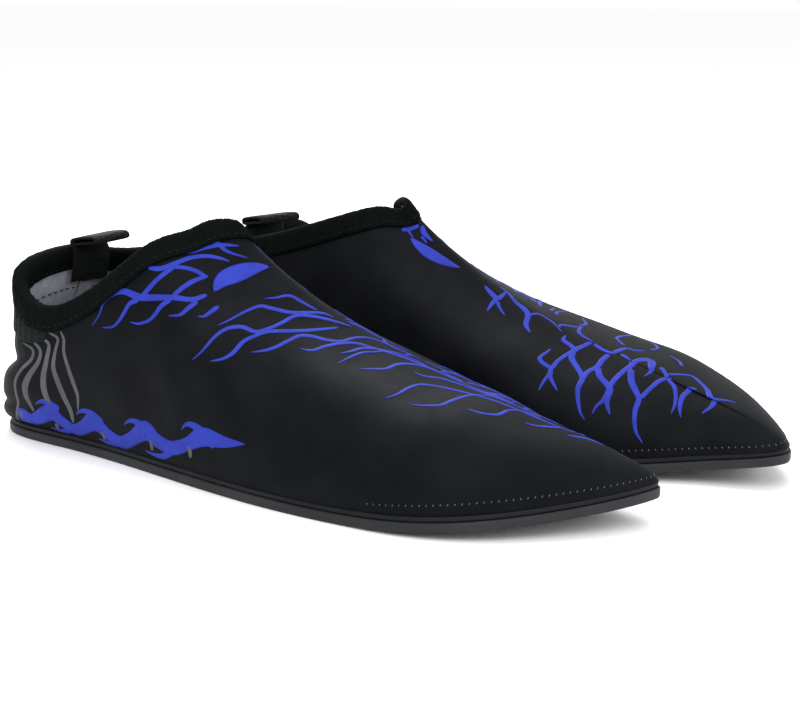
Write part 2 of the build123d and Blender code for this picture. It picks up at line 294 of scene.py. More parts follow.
def merged(piece, distance=1e-6):
    """Close the seams and poles of a piece by joining corners that lie together."""
    work = bmesh.new()
    work.from_mesh(piece.data)
    bmesh.ops.remove_doubles(work, verts=work.verts, dist=distance)
    bmesh.ops.dissolve_degenerate(work, edges=work.edges, dist=distance / 10)
    work.to_mesh(piece.data)
    work.free()
    return piece


def joined_grids(name, grids, materials, side):
    """One object from several closed tubes: each is (points, row_mm, col_mm), its rows closing."""
    points, faces, uvs, start = [], [], [], 0
    for grid, row_mm, col_mm in grids:
        rows, cols = grid.shape[:2]
        points.append(grid.reshape(-1, 3))
        faces.append(grid_faces(rows, cols, True, False) + start)
        uvs.append(grid_uv(rows, cols, True, False, row_mm, col_mm))
        start += rows * cols
    return merged(mesh_object(name, to_row(np.concatenate(points), side), np.concatenate(faces),
                              materials, np.concatenate(uvs), side=side))


def run_of(points):
    """Distance along a line of points, in mm."""
    return np.concatenate([[0], np.cumsum(np.linalg.norm(np.diff(points, axis=0), axis=-1))])


def flexes(piece):
    """Bake a piece's placement into its mesh, leaving it attached to neither body."""
    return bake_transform(piece)


def rides(piece, side, body):
    """Let a piece move with one body of its shoe."""
    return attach(piece, f"{side}_{body}")


# ---- materials ----

def material(name, color, roughness, sheen=0.0, sheen_tint=(1, 1, 1), coat=0.0, specular=0.5):
    """A shader with its own constant sockets, ready for a colour and a bump to be linked."""
    made = bpy.data.materials.new(name)
    made.use_nodes = True
    shader = made.node_tree.nodes["Principled BSDF"]
    shader.inputs["Base Color"].default_value = (*color, 1)
    shader.inputs["Roughness"].default_value = roughness
    shader.inputs["Sheen Weight"].default_value = sheen
    shader.inputs["Sheen Tint"].default_value = (*sheen_tint, 1)
    shader.inputs["Sheen Roughness"].default_value = 0.4
    shader.inputs["Coat Weight"].default_value = coat
    shader.inputs["Specular IOR Level"].default_value = specular
    return made


class Nodes:
    """Short ways to add and link nodes in one material."""

    def __init__(self, made):
        self.tree = made.node_tree
        self.shader = self.tree.nodes["Principled BSDF"]

    def add(self, kind, **values):
        """A node of one kind, with its settings and the constants of its sockets."""
        node = self.tree.nodes.new(kind)
        for key, value in values.items():
            if hasattr(node, key):
                setattr(node, key, value)
            else:
                node.inputs[key.replace("_", " ")].default_value = value
        return node

    def link(self, output, socket):
        """Join an output to a socket."""
        self.tree.links.new(output, socket)

    def place(self, kind="Object"):
        """Coordinates to work from: the object's own, or its UV."""
        found = self.tree.nodes.get("Texture Coordinate") or self.add("ShaderNodeTexCoord")
        return found.outputs[kind]

    def noise(self, scale, detail=3.0, kind="Object"):
        """A cloudy value."""
        node = self.add("ShaderNodeTexNoise", Scale=scale, Detail=detail)
        self.link(self.place(kind), node.inputs["Vector"])
        return node.outputs["Fac"]

    def scaled(self, kind, x, y, z=1.0):
        """Coordinates stretched by x, y and z."""
        node = self.add("ShaderNodeMapping")
        node.inputs["Scale"].default_value = (x, y, z)
        self.link(self.place(kind), node.inputs["Vector"])
        return node.outputs["Vector"]

    def wave(self, vector, scale, direction="X", distortion=0.0):
        """Bands across one direction."""
        node = self.add("ShaderNodeTexWave", bands_direction=direction, Scale=scale, Distortion=distortion)
        self.link(vector, node.inputs["Vector"])
        return node.outputs["Fac"]

    def voronoi(self, scale, kind="Object", feature="F1"):
        """Distance to the nearest of scattered points, for the loops of a knit."""
        node = self.add("ShaderNodeTexVoronoi", feature=feature, Scale=scale)
        self.link(self.place(kind), node.inputs["Vector"])
        return node.outputs["Distance"]

    def math(self, operation, first, second):
        """One operation on two values or outputs."""
        node = self.add("ShaderNodeMath", operation=operation)
        for socket, value in zip(node.inputs, (first, second)):
            if isinstance(value, (int, float)):
                socket.default_value = value
            else:
                self.link(value, socket)
        return node.outputs[0]

    def ramp(self, fac, low, high, start=0.3, end=0.7, socket="Base Color"):
        """Two colours, mixed by fac between start and end, on the shader's colour."""
        node = self.add("ShaderNodeValToRGB")
        node.color_ramp.elements[0].position, node.color_ramp.elements[1].position = start, end
        node.color_ramp.elements[0].color = (*low, 1)
        node.color_ramp.elements[1].color = (*high, 1)
        self.link(fac, node.inputs["Fac"])
        self.link(node.outputs["Color"], self.shader.inputs[socket])
        return node

    def rough(self, fac, low, high):
        """Let a value set the roughness between two limits."""
        node = self.add("ShaderNodeMapRange")
        node.inputs["To Min"].default_value, node.inputs["To Max"].default_value = low, high
        self.link(fac, node.inputs["Value"])
        self.link(node.outputs["Result"], self.shader.inputs["Roughness"])

    def bump(self, *layers):
        """Bumps one on another: each layer is (height, distance in mm, strength)."""
        last = None
        for height, distance, strength in layers:
            node = self.add("ShaderNodeBump", Strength=strength, Distance=distance / 1000)
            self.link(height, node.inputs["Height"])
            if last is not None:
                self.link(last, node.inputs["Normal"])
            last = node.outputs["Normal"]
        self.link(last, self.shader.inputs["Normal"])


def neoprene_cloth(name, color):
    """Knit face of neoprene: fine stitches, a little mottle and a cool soft sheen."""
    made = material(name, color, 0.6, sheen=0.012, sheen_tint=(0.6, 0.75, 1.0), specular=0.06)
    n = Nodes(made)
    lighter = tuple(value * 1.5 + 0.0008 for value in color)
    n.ramp(n.noise(55, 4), color, lighter, 0.4, 0.68)
    n.rough(n.noise(140, 3), 0.5, 0.68)
    n.bump((n.voronoi(1500), 0.06, 0.35), (n.noise(90, 3), 0.25, 0.25))
    return made


def print_ink(name, color, shade):
    """Printed ink on knit: the knit shows through and the ink wears a little at the stitches."""
    made = material(name, color, 0.5, sheen=0.01, sheen_tint=(0.8, 0.85, 1.0), specular=0.1)
    n = Nodes(made)
    n.ramp(n.noise(120, 5), shade, color, 0.32, 0.6)
    n.bump((n.voronoi(1500), 0.06, 0.4), (n.noise(260, 2), 0.08, 0.2))
    return made


def stretch_tape(name, color, ribs):
    """Folded stretch tape: fine ribs across its width, fuzz between them, and painted highlight on the ribs'
    tops with painted shade in the grooves, broken by noise.
    """
    made = material(name, color, 0.8, sheen=0.006, sheen_tint=(0.8, 0.95, 0.9), specular=0.04)
    n = Nodes(made)
    rib = n.wave(n.scaled("UV", ribs, 1), 1.0, "X", 0.4)
    lighter = tuple(value * 1.8 + 0.001 for value in color)
    # Painted highlight and painted shade: the colour follows the ribs' height, lighter on their tops and
    # darker in the grooves, broken by noise.
    n.ramp(n.math("MULTIPLY", rib, n.noise(160, 4)), color, lighter, 0.1, 0.75)
    n.bump((rib, 0.12, 0.5), (n.voronoi(1300), 0.05, 0.4), (n.noise(400, 2), 0.06, 0.3))
    return made


def ribbed_elastic(name, color):
    """Elastic panel: raised ribs that run round the heel, crossed by shirring, with painted highlight on the
    raised parts and painted shade in the hollows.
    """
    made = material(name, color, 0.75, sheen=0.02, sheen_tint=(0.85, 0.95, 0.95), specular=0.1)
    n = Nodes(made)
    rib = n.wave(n.scaled("UV", 1, 6), 1.0, "Y", 0.6)
    cross = n.wave(n.scaled("UV", 3.4, 1), 1.0, "X", 3.0)
    # Painted highlight and painted shade: the colour follows the height of the ribs and the shirring, up to
    # twice as light on the raised parts.
    n.ramp(n.math("ADD", rib, n.math("MULTIPLY", cross, 0.5)), color, tuple(2.0 * v for v in color), 0.2, 1.2)
    n.bump((rib, 0.2, 0.7), (cross, 0.25, 0.35), (n.voronoi(1500), 0.05, 0.3))
    return made


def webbing(name, color):
    """Woven tape: two crossed sets of yarns with a herringbone slant, with painted highlight on the raised
    yarns and painted shade between them.
    """
    made = material(name, color, 0.7, sheen=0.015, sheen_tint=(0.85, 1.0, 0.95), specular=0.1)
    n = Nodes(made)
    yarn = n.wave(n.scaled("UV", 5.5, 5.5), 1.0, "DIAGONAL", 0.2)
    pick = n.wave(n.scaled("UV", 8, 8), 1.0, "Y", 0.1)
    height = n.math("MULTIPLY", yarn, pick)
    # Painted highlight and painted shade: the colour follows the yarns' height, lighter where they rise and
    # darker between them.
    n.ramp(height, color, tuple(2.4 * v + 0.002 for v in color), 0.2, 0.8)
    n.bump((height, 0.25, 0.8), (n.noise(500, 2), 0.05, 0.3))
    return made


def moulded_rubber(name, color, gloss):
    """Moulded rubber: a fine stipple, scuffs that lighten it and dust in the low places."""
    made = material(name, color, gloss, specular=0.2)
    n = Nodes(made)
    n.ramp(n.noise(38, 6), color, tuple(v * 1.5 + 0.002 for v in color), 0.38, 0.75)
    n.rough(n.noise(60, 4), gloss - 0.08, gloss + 0.12)
    n.bump((n.noise(1800, 2), 0.05, 0.4), (n.noise(24, 3), 0.3, 0.15))
    return made


def jersey_lining(name, color, shade):
    """Light jersey: small knit loops in rows, with a faint heather."""
    made = material(name, color, 0.85, sheen=0.2, sheen_tint=(0.85, 0.9, 1.0), specular=0.2)
    n = Nodes(made)
    n.ramp(n.noise(320, 5), shade, color, 0.3, 0.62)
    n.bump((n.voronoi(1100), 0.12, 0.6), (n.noise(70, 3), 0.3, 0.3))
    return made


def spun_thread(name, color):
    """Twisted thread: fine slanting plies."""
    made = material(name, color, 0.6, sheen=0.01, specular=0.08)
    n = Nodes(made)
    n.ramp(n.noise(900, 2), tuple(0.6 * v for v in color), color, 0.3, 0.6)
    n.bump((n.wave(n.scaled("Object", 1600, 1600, 1600), 1.0, "DIAGONAL"), 0.08, 0.6))
    return made


MADE = {}


def darker_tone_or_painted_shade(color, share):
    """A colour times a share: the darker end of a random mottle or heather, and painted shade for cloth
    inside the shoe.
    """
    return tuple(share * value for value in color)


DARK_THREAD, LIGHT_THREAD = (0.006, 0.0075, 0.007), (0.10, 0.11, 0.12)


def make_materials():
    """Make every material once, from the colours that the panel shows."""
    colors = bpy.context.scene.water_shoe_colors
    cloth = colors.lining
    MADE.update(
        neoprene=neoprene_cloth("neoprene", tuple(colors.neoprene)),
        lining=jersey_lining("jersey lining", tuple(cloth), darker_tone_or_painted_shade(cloth, 0.72)),
        binding=stretch_tape("collar tape", tuple(colors.binding), 7.0),
        elastic=ribbed_elastic("heel elastic", tuple(colors.elastic)),
        webbing=webbing("tab webbing", tuple(colors.webbing)),
        rubber=moulded_rubber("outsole rubber", tuple(colors.rubber), 0.55),
        midsole=moulded_rubber("midsole foam", tuple(colors.midsole), 0.6),
        # The insole cloth is the lining's cloth darkened to 0.8: painted shade for the inside of the shoe.
        insole=jersey_lining("insole cloth", darker_tone_or_painted_shade(cloth, 0.8), darker_tone_or_painted_shade(cloth, 0.6)),
        ink=print_ink("blue ink", tuple(colors.ink), darker_tone_or_painted_shade(colors.ink, 0.72)),
        stripe=print_ink("grey ink", tuple(colors.stripe), darker_tone_or_painted_shade(colors.stripe, 0.7)),
        dark_thread=spun_thread("dark thread", DARK_THREAD),
        light_thread=spun_thread("light thread", LIGHT_THREAD),
        # The seam tape is the lining's cloth darkened to 0.9: painted shade for the inside of the heel.
        seam_tape=jersey_lining("seam tape", darker_tone_or_painted_shade(cloth, 0.9), darker_tone_or_painted_shade(cloth, 0.7)),
    )


# ---- the soft pieces on the wall ----

AROUND = 24                  # grid columns between two stations
OUTER_ROWS, INNER_ROWS = 84, 36
WALL_MM = 90                 # mean height of the wall, for the weave's scale
RING = np.arange(AROUND * COUNT) / AROUND


def lining_face(u, r):
    """The wall's inner face, UPPER inside the outer one. Round the toes it is the outer face moved
    straight down and inwards, so that it can't fold through itself behind the tight ridge."""
    normal = raw_normal(smooth_wall, u, r, 0.12)
    up = np.clip((r - 0.05) / 0.4, 0, 1)[..., None]
    inward = outward(station(u)[1]) * (1 - up) + np.array([0, 0, 1.0]) * up
    toes = (np.clip((3.6 - np.abs(u - 7.0)) / 1.2, 0, 1) * np.clip((0.97 - r) / 0.15, 0, 1))[..., None]
    way = normal * (1 - toes) + inward * toes
    return wall(u, r) - way / np.linalg.norm(way, axis=-1, keepdims=True) * UPPER


def make_upper(side):
    """The skin: the wall's outer face up to the collar and its inner face back down."""
    rising = np.linspace(0, 1, OUTER_ROWS)**1.08
    r = np.concatenate([rising, np.linspace(1, 0, INNER_ROWS)])
    inside = np.concatenate([np.zeros(OUTER_ROWS), np.ones(INNER_ROWS)])
    u_grid, r_grid = np.broadcast_arrays(RING[None, :], r[:, None])
    points = np.where(inside[:, None, None] > 0, lining_face(u_grid, r_grid), wall(u_grid, r_grid))
    rows, cols = len(r), len(RING)
    faces = grid_faces(rows, cols, True, True)
    height = np.concatenate([rising, 2 - r[OUTER_ROWS:]]) * WALL_MM
    uv = grid_uv(rows, cols, True, True, height, RING * STATION_MM)
    lined = np.repeat(np.arange(rows) >= OUTER_ROWS - 1, cols)
    piece = mesh_object(f"{side}_upper", to_row(points, side), faces,
                        [MADE["neoprene"], MADE["lining"]], uv, lined, side)
    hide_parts(*(f"{side}_upper_{zone}" for zone in ("rear", "fold", "front")))
    return flexes(piece)


# outline of the folded tape: (out from the wall's face, rise above the collar edge)
TAPE_SECTION = np.array([
    (0.1, -8.0), (0.7, -8.3), (1.15, -7.9), (1.3, -6.9), (1.45, -5), (1.6, -3), (1.65, -1.2), (1.4, 0.2),
    (0.7, 1.1), (-0.5, 1.5), (-1.8, 1.55), (-3.0, 1.3), (-3.9, 0.6), (-4.3, -0.6), (-4.35, -2.5),
    (-4.2, -4.5),
    (-4.0, -6.8), (-3.75, -7.9), (-3.2, -8.2), (-2.6, -7.8), (-2.55, -4), (-2.55, -0.4), (-1.3, 0.3),
    (0.0, -0.3), (0.05, -4),
])


def make_binding(side):
    """The tape: its folded outline carried round the collar, swelling a little between stitches."""
    u = np.arange(32 * COUNT) / 32
    out, rise = (np.repeat(TAPE_SECTION[:, k:k + 1], len(u), axis=1) for k in (0, 1))
    outside = (TAPE_SECTION[:, 0] > 0.5) | (TAPE_SECTION[:, 0] < -3.6)
    swell = 0.12 * np.sin(u * 2 * np.pi * 7) + 0.1 * np.sin(u * 2 * np.pi * 3 + 1)
    out = out + np.where(outside[:, None], np.sign(out + 1.2) * swell[None, :], 0)
    grid_u = np.broadcast_to(u[None, :], out.shape)
    points = tape_place(grid_u, out, rise)
    rows, cols = out.shape
    uv = grid_uv(rows, cols, True, True, run_of(TAPE_SECTION), u * 17.0)
    piece = mesh_object(f"{side}_collar_binding", to_row(points, side),
                        grid_faces(rows, cols, True, True), [MADE["binding"]], uv, side=side)
    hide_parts(f"{side}_collar_binding")
    return rides(piece, side, "rear")


def strap_grid(u, depth, outer, inner, ripple=0.0, ripples=0.0, shorten=0.0):
    """A thin piece on the wall between two depths, its edges rounded and its ends closed. `shorten`
    draws its lower edge up towards both ends, as a share of its height."""
    rows = np.concatenate([depth[::-1], depth])
    share = np.linspace(-1, 1, len(depth))
    edge = (1 - share**8)
    end = 1 - np.linspace(-1, 1, len(u))**24
    body = (outer - inner) * edge[:, None] * end[None, :]
    body = body + ripple * np.sin(ripples * u)[None, :] * edge[:, None] * end[None, :]
    out = np.concatenate([inner + body[::-1], np.full(body.shape, float(inner))])
    grid_u = np.broadcast_to(u[None, :], out.shape)
    middle, reach = (u[0] + u[-1]) / 2, (u[-1] - u[0]) / 2
    short = 1 - shorten * np.abs((u - middle) / reach)**1.6
    down = depth[0] + (rows[:, None] - depth[0]) * short[None, :]
    return offset_wall(grid_u, depth_to_r(grid_u, down), out), rows


PANEL_FROM, PANEL_TO = -2.0, 2.1
PANEL_TOP, PANEL_FOOT, PANEL_THICKNESS = 7.6, 25.5, 0.95


def make_heel_panel(side):
    """The elastic round the heel below the binding, shirred by its stitching."""
    u = np.linspace(PANEL_FROM, PANEL_TO, 300)
    depth = np.linspace(PANEL_TOP, PANEL_FOOT, 34)
    points, rows = strap_grid(u, depth, PANEL_THICKNESS, 0.0, 0.12, 46, 0.8)
    piece = joined_grids(f"{side}_heel_panel", [(points, rows, u * 30)], [MADE["elastic"]], side)
    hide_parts(f"{side}_heel_panel")
    return rides(piece, side, "rear")


def stations_for(width, depth, count):
    """Values of u that run `width` mm along the wall at one depth, centred on the tab."""
    u = np.linspace(TAB_STATION - 1, TAB_STATION + 1, 161)
    run = run_of(smooth_wall(u, depth_to_r(u, np.full(len(u), depth))))
    middle = np.interp(TAB_STATION, u, run)
    return np.interp(np.linspace(middle - width / 2, middle + width / 2, count), run, u)


TAPE_FACE = -(UPPER + 0.35)


def make_seam_tape(side):
    """The tape down the inside of the heel."""
    u = stations_for(8.0, 20.0, 12)
    depth = np.linspace(13.0, 56.0, 60)
    points, rows = strap_grid(u, depth, TAPE_FACE + 0.3, TAPE_FACE - 0.35)
    piece = joined_grids(f"{side}_heel_seam_tape", [(points, rows, u * 30)], [MADE["seam_tape"]], side)
    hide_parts(f"{side}_heel_seam_tape")
    return rides(piece, side, "rear")


TAB_WIDTH, TAB_LENGTH, TAB_THICKNESS, WEB = 22.0, 13.0, 3.4, 1.25
TAIL_DEPTH = 12.0
TAB_SAG = -0.012             # droop of the loop per mm of its length, squared
TAB_ROOT_OUT, TAB_ROOT_RISE = -2.65, 3.4

# middle line of the tail's webbing: (out from the wall's face, rise above the collar edge)
TAIL_LINE = np.array([(-4.85, -12), (-4.9, -6), (-4.9, -1), (-4.6, 1.2), (-3.7, 2.8),
                      (TAB_ROOT_OUT, TAB_ROOT_RISE)])


def make_tab_tail(side):
    """The ends of the tab's webbing, sewn down inside the collar, and the neck that leads up over
    the binding to the loop's fold line: a flat section carried along the middle line."""
    u = stations_for(TAB_WIDTH, TAIL_DEPTH / 2, 34)
    line = smooth_path(TAIL_LINE, 0.1)
    ahead = np.gradient(line, axis=0)
    aside = np.stack([ahead[:, 1], -ahead[:, 0]], -1) / np.linalg.norm(ahead, axis=-1, keepdims=True)
    half = 0.58 * (1 - np.linspace(-1, 1, len(line))**16)[:, None]
    section = np.concatenate([line + aside * half, (line - aside * half)[::-1]])
    middle = np.concatenate([line, line[::-1]])
    end = (1 - np.linspace(-1, 1, len(u))**24)[None, :, None]
    place = middle[:, None] + (section - middle)[:, None] * end
    grid_u = np.broadcast_to(u[None, :], place.shape[:2])
    points = near_collar(grid_u, place[..., 0], place[..., 1])
    grids = [(points[::-1], run_of(section), u * 30)]
    piece = joined_grids(f"{side}_tab_tail", grids, [MADE["webbing"]], side)
    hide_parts(f"{side}_tab_tail")
    return rides(piece, side, "rear")


def tab_axes():
    """The tab's fold line: a point on it, its direction and the way that the tab leans."""
    u = np.array([TAB_STATION])
    point = near_collar(u, np.array([TAB_ROOT_OUT]), np.array([TAB_ROOT_RISE]))[0]
    across = (smooth_wall(u + 0.02, u * 0 + 1) - smooth_wall(u - 0.02, u * 0 + 1))[0]
    across[2] = 0
    across = across / np.linalg.norm(across)
    forward = np.array([-across[1], across[0], 0])
    lean = bpy.context.scene.water_shoe_sizes.tab_lean
    along = forward * math.sin(lean) + np.array([0, 0, math.cos(lean)])
    return point, across, along


def make_pull_tab(side):
    """A band of webbing carried round a flat loop: a rounded oblong section along a long oval."""
    point, across, along = tab_axes()
    over = np.cross(across, along)
    half = (TAB_THICKNESS - WEB) / 2
    reach = TAB_LENGTH - TAB_THICKNESS
    turn = np.linspace(-np.pi / 2, np.pi / 2, 13)
    tip = np.stack([reach + half * np.cos(turn), half * np.sin(turn)], -1)
    root = np.stack([-half * np.cos(turn), -half * np.sin(turn)], -1)
    flat = np.linspace(0, 1, 10)[1:-1, None]
    lower = tip[-1] + (root[0] - tip[-1]) * flat
    upper = root[-1] + (tip[0] - root[-1]) * flat
    path = np.concatenate([tip, lower, root, upper, tip[:1]])
    ahead = np.roll(path[:-1], -1, axis=0) - np.roll(path[:-1], 1, axis=0)
    ahead = np.concatenate([ahead, ahead[:1]])
    side_way = np.stack([ahead[:, 1], -ahead[:, 0]], -1)
    side_way = side_way / np.linalg.norm(side_way, axis=-1, keepdims=True)
    angle = np.linspace(0, 2 * np.pi, 48, endpoint=False)
    wide = np.sign(np.cos(angle)) * np.abs(np.cos(angle))**0.18 * TAB_WIDTH / 2
    thick = np.sign(np.sin(angle)) * np.abs(np.sin(angle))**0.35 * WEB / 2
    flat_place = path[None] + side_way[None] * thick[:, None, None]
    sag = TAB_SAG * flat_place[..., 0:1]**2 * np.array([0, 0, 1.0])
    place = point + along * flat_place[..., 0:1] + over * flat_place[..., 1:2] + sag
    place = place + across * wide[:, None, None]
    run = run_of(path)
    section = np.arange(48) * (2 * TAB_WIDTH / 48)
    piece = joined_grids(f"{side}_pull_tab", [(place[::-1], section, run)], [MADE["webbing"]], side)
    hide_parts(f"{side}_pull_tab")
    return rides(piece, side, "tab")


# ---- soles ----

def outline_sides(inset):
    """The sole outline as y over x on the outer and the inner side, drawn in by `inset` mm."""
    u = np.linspace(0, COUNT, 1561)[:-1]
    value, slope = station(u)
    line = value[:, :2] - outward(slope)[:, :2] * inset
    line = np.roll(line, -int(np.argmin(line[:, 0])), axis=0)
    tip = int(np.argmax(line[:, 0]))
    outer, inner = line[:tip + 1], np.concatenate([line[tip:], line[:1]])[::-1]
    return outer, inner


def sole_grid(inset, low, high, rounding, flat_low, flat_high, across=56, along=300):
    """A layer of the sole: at each x its section is a flat oblong with rounded corners, and the
    sections shrink to a point at the heel and the tip. flat_low and flat_high add to its faces."""
    outer, inner = outline_sides(inset)
    x = outer[0, 0] + (outer[-1, 0] - outer[0, 0]) * (1 - np.cos(np.linspace(0, np.pi, along))) / 2
    y_low = np.interp(x, outer[:, 0], outer[:, 1])
    y_high = np.interp(x, inner[:, 0], inner[:, 1])
    middle, half = (y_low + y_high) / 2, (y_high - y_low) / 2
    corner = np.minimum(rounding, 0.8 * half)
    turn = np.linspace(0, np.pi / 2, 6)
    span = np.linspace(1, -1, across)
    rise = sole_rise(x)
    rows = []
    for t in span:
        y = middle + t * (half - corner)
        rows.append((y, low + rise + flat_low(x, y, half - np.abs(y - middle))))
    for a in turn[1:]:
        rows.append((middle - half + corner * (1 - np.sin(a)), low + rise + corner * (1 - np.cos(a))))
    for a in turn[::-1][:-1]:
        rows.append((middle - half + corner * (1 - np.sin(a)), high + rise - corner * (1 - np.cos(a))))
    for t in -span:
        y = middle + t * (half - corner)
        rows.append((y, high + rise + flat_high(x, y, half - np.abs(y - middle))))
    for a in turn[1:]:
        rows.append((middle + half - corner * (1 - np.sin(a)), high + rise - corner * (1 - np.cos(a))))
    for a in turn[::-1][:-1]:
        rows.append((middle + half - corner * (1 - np.sin(a)), low + rise + corner * (1 - np.cos(a))))
    points = np.stack([np.stack([x, y, z], -1) for y, z in rows])
    return points, np.arange(len(rows)) * 1.6, x


def level(x, y, edge):
    """A face with nothing added to it."""
    return 0 * x


TREAD_PITCH, TREAD_DEPTH, TREAD_MARGIN = 8.0, 1.1, 6


def tread(x, y, edge):
    """Grooves 1.1 mm deep in waves across the sole, kept 6 mm from its edge and cut by two long
    channels, with the blocks between them left flat."""
    wave = np.abs(np.sin(np.pi * (x + 3.5 * np.sin(y / 6.5)) / TREAD_PITCH))
    groove = np.clip((0.3 - wave) / 0.18, 0, 1)
    channel = np.clip((1.3 - np.abs(np.abs(y) - 17 + 3 * np.sin(x / 24))) / 0.7, 0, 1)
    inside = np.clip((edge - TREAD_MARGIN) / 1.2, 0, 1)
    return TREAD_DEPTH * np.maximum(groove, channel) * inside


def foot_bed(x, y, edge):
    """The insole's face: a shallow dish under the heel and the ball, higher along its edge."""
    return -0.7 * np.clip(edge / 14, 0, 1) * (bell(x, 35, 32) + bell(x, 195, 45))


def make_outsole(side):
    """The rubber outsole, with its tread underneath."""
    points, rows, x = sole_grid(0.0, 0.0, OUTSOLE, 0.9, tread, level, across=110, along=380)
    piece = joined_grids(f"{side}_outsole", [(points, rows, x)], [MADE["rubber"]], side)
    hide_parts(f"{side}_outsole_rear", f"{side}_outsole_front")
    return flexes(piece)


def make_midsole(side):
    """The thin layer between the outsole and the upper."""
    points, rows, x = sole_grid(0.7, OUTSOLE + 0.05, OUTSOLE + 0.1 + MIDSOLE, 0.8, level, level)
    piece = joined_grids(f"{side}_midsole", [(points, rows, x)], [MADE["midsole"]], side)
    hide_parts(f"{side}_midsole_rear", f"{side}_midsole_front")
    return flexes(piece)


def make_insole(side):
    """The insole inside the foot of the wall, its upper face dished."""
    points, rows, x = sole_grid(5.0, WALL_FOOT + 0.1, WALL_FOOT + 2.6, 1.1, level, foot_bed)
    piece = joined_grids(f"{side}_insole", [(points, rows, x)], [MADE["insole"]], side)
    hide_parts(f"{side}_insole_rear", f"{side}_insole_front")
    return flexes(piece)


# ---- stitching ----

def bead():
    """Corners and triangles of a small ball of radius 1."""
    work = bmesh.new()
    bmesh.ops.create_icosphere(work, subdivisions=2, radius=1)
    corners = np.array([list(v.co) for v in work.verts])
    faces = np.array([[v.index for v in f.verts] for f in work.faces])
    work.free()
    return corners, faces


def stitches(name, side, rows, thread):
    """Small oval stitches at each place of each row: (places, the way each runs, normals, size)."""
    corners, faces = bead()
    points, numbers, start = [], [], 0
    for place, run, normal, (length, width, height) in rows:
        run = run / np.linalg.norm(run, axis=-1, keepdims=True)
        wide = np.cross(normal, run)
        one = (corners[None, :, 0:1] * run[:, None] * length / 2
               + corners[None, :, 1:2] * wide[:, None] * width / 2
               + corners[None, :, 2:3] * normal[:, None] * height / 2 + place[:, None])
        points.append(one.reshape(-1, 3))
        shift = np.arange(len(place))[:, None, None] * len(corners)
        numbers.append((faces[None] + shift).reshape(-1, 3) + start)
        start += len(place) * len(corners)
    return mesh_object(name, to_row(np.concatenate(points), side), np.concatenate(numbers),
                       [thread], side=side)


def along_wall(u, r, out, spacing):
    """Places a fixed distance apart along a line on the wall, with their directions and normals."""
    fine_u, fine_r = np.asarray(u, float), np.asarray(r, float)
    line = offset_wall(fine_u, fine_r, np.full(len(fine_u), out))
    run = run_of(line)
    stops = np.arange(spacing / 2, run[-1], spacing)
    at_u, at_r = np.interp(stops, run, fine_u), np.interp(stops, run, fine_r)
    place = np.stack([np.interp(stops, run, line[:, k]) for k in range(3)], -1)
    ahead = np.stack([np.interp(stops + 0.4, run, line[:, k]) for k in range(3)], -1)
    return place, ahead - place + 1e-9, raw_normal(wall, at_u, at_r)


def ring_at_depth(depth, first=0.0, last=COUNT):
    """A line round the wall at one depth below the collar, as stations and shares of height."""
    u = np.linspace(first, last, 60 * COUNT)
    return u, depth_to_r(u, np.full(len(u), depth))


# sizes of a stitch: its length, width and height in mm
SOLE_STITCH, COLLAR_STITCH = (0.8, 0.34, 0.3), (1.7, 0.5, 0.45)


def make_sole_stitches(side):
    """The overlock that closes the upper round the sole, from waist to waist round the toe."""
    u = np.linspace(5.2, 10.0, 900)
    pitch = bpy.context.scene.water_shoe_sizes.sole_pitch
    place, run, normal = along_wall(u, np.full(len(u), 0.035), 0.0, pitch)
    up = np.cross(normal, run)
    slant = up + 0.25 * run / np.linalg.norm(run, axis=-1, keepdims=True)
    rows = [(place, slant, normal, SOLE_STITCH)]
    piece = stitches(f"{side}_sole_stitches", side, rows, MADE["light_thread"])
    return flexes(piece)


def make_dark_stitches(side):
    """Runs of dark stitches: one on each face of the binding, one along the panel's top, the
    lining's topstitch and a short column down the lining beside the heel."""
    rows = []
    pitch = bpy.context.scene.water_shoe_sizes.collar_pitch
    for depth, out, spacing, size in (
        (6.6, 1.32, pitch, COLLAR_STITCH),
        (6.6, -4.05, pitch, COLLAR_STITCH),
        (16.0, -UPPER, 3.4, (2.3, 0.6, 0.5)),
    ):
        rows.append((*along_wall(*ring_at_depth(depth), out, spacing), size))
    rows.append((*along_wall(*ring_at_depth(9.6, -1.8, 1.9), PANEL_THICKNESS, pitch), COLLAR_STITCH))
    down = np.linspace(14, 52, 300)
    beside = np.full(len(down), -1.0)
    column = along_wall(beside, depth_to_r(beside, down), -UPPER, 2.6)
    rows.append((*column, (1.6, 0.8, 0.55)))
    piece = stitches(f"{side}_seam_stitches", side, rows, MADE["dark_thread"])
    return rides(piece, side, "rear")


def make_bar_tacks(side):
    """Two bars of close stitches that hold the tab's tail."""
    rows = []
    for depth in (3.8, 8.8):
        u = stations_for(7.0, depth, 60)
        place, run, normal = along_wall(u, depth_to_r(u, np.full(60, depth)), -5.45, 0.55)
        rows.append((place, np.cross(normal, run), normal, (1.9, 0.4, 0.4)))
    piece = stitches(f"{side}_bar_tacks", side, rows, MADE["dark_thread"])
    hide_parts(f"{side}_bar_tacks")
    return rides(piece, side, "rear")


# ---- prints: strokes of ink on the wall ----
# A stroke is a list of (stations from the heel, share of the way up the wall, width in mm).

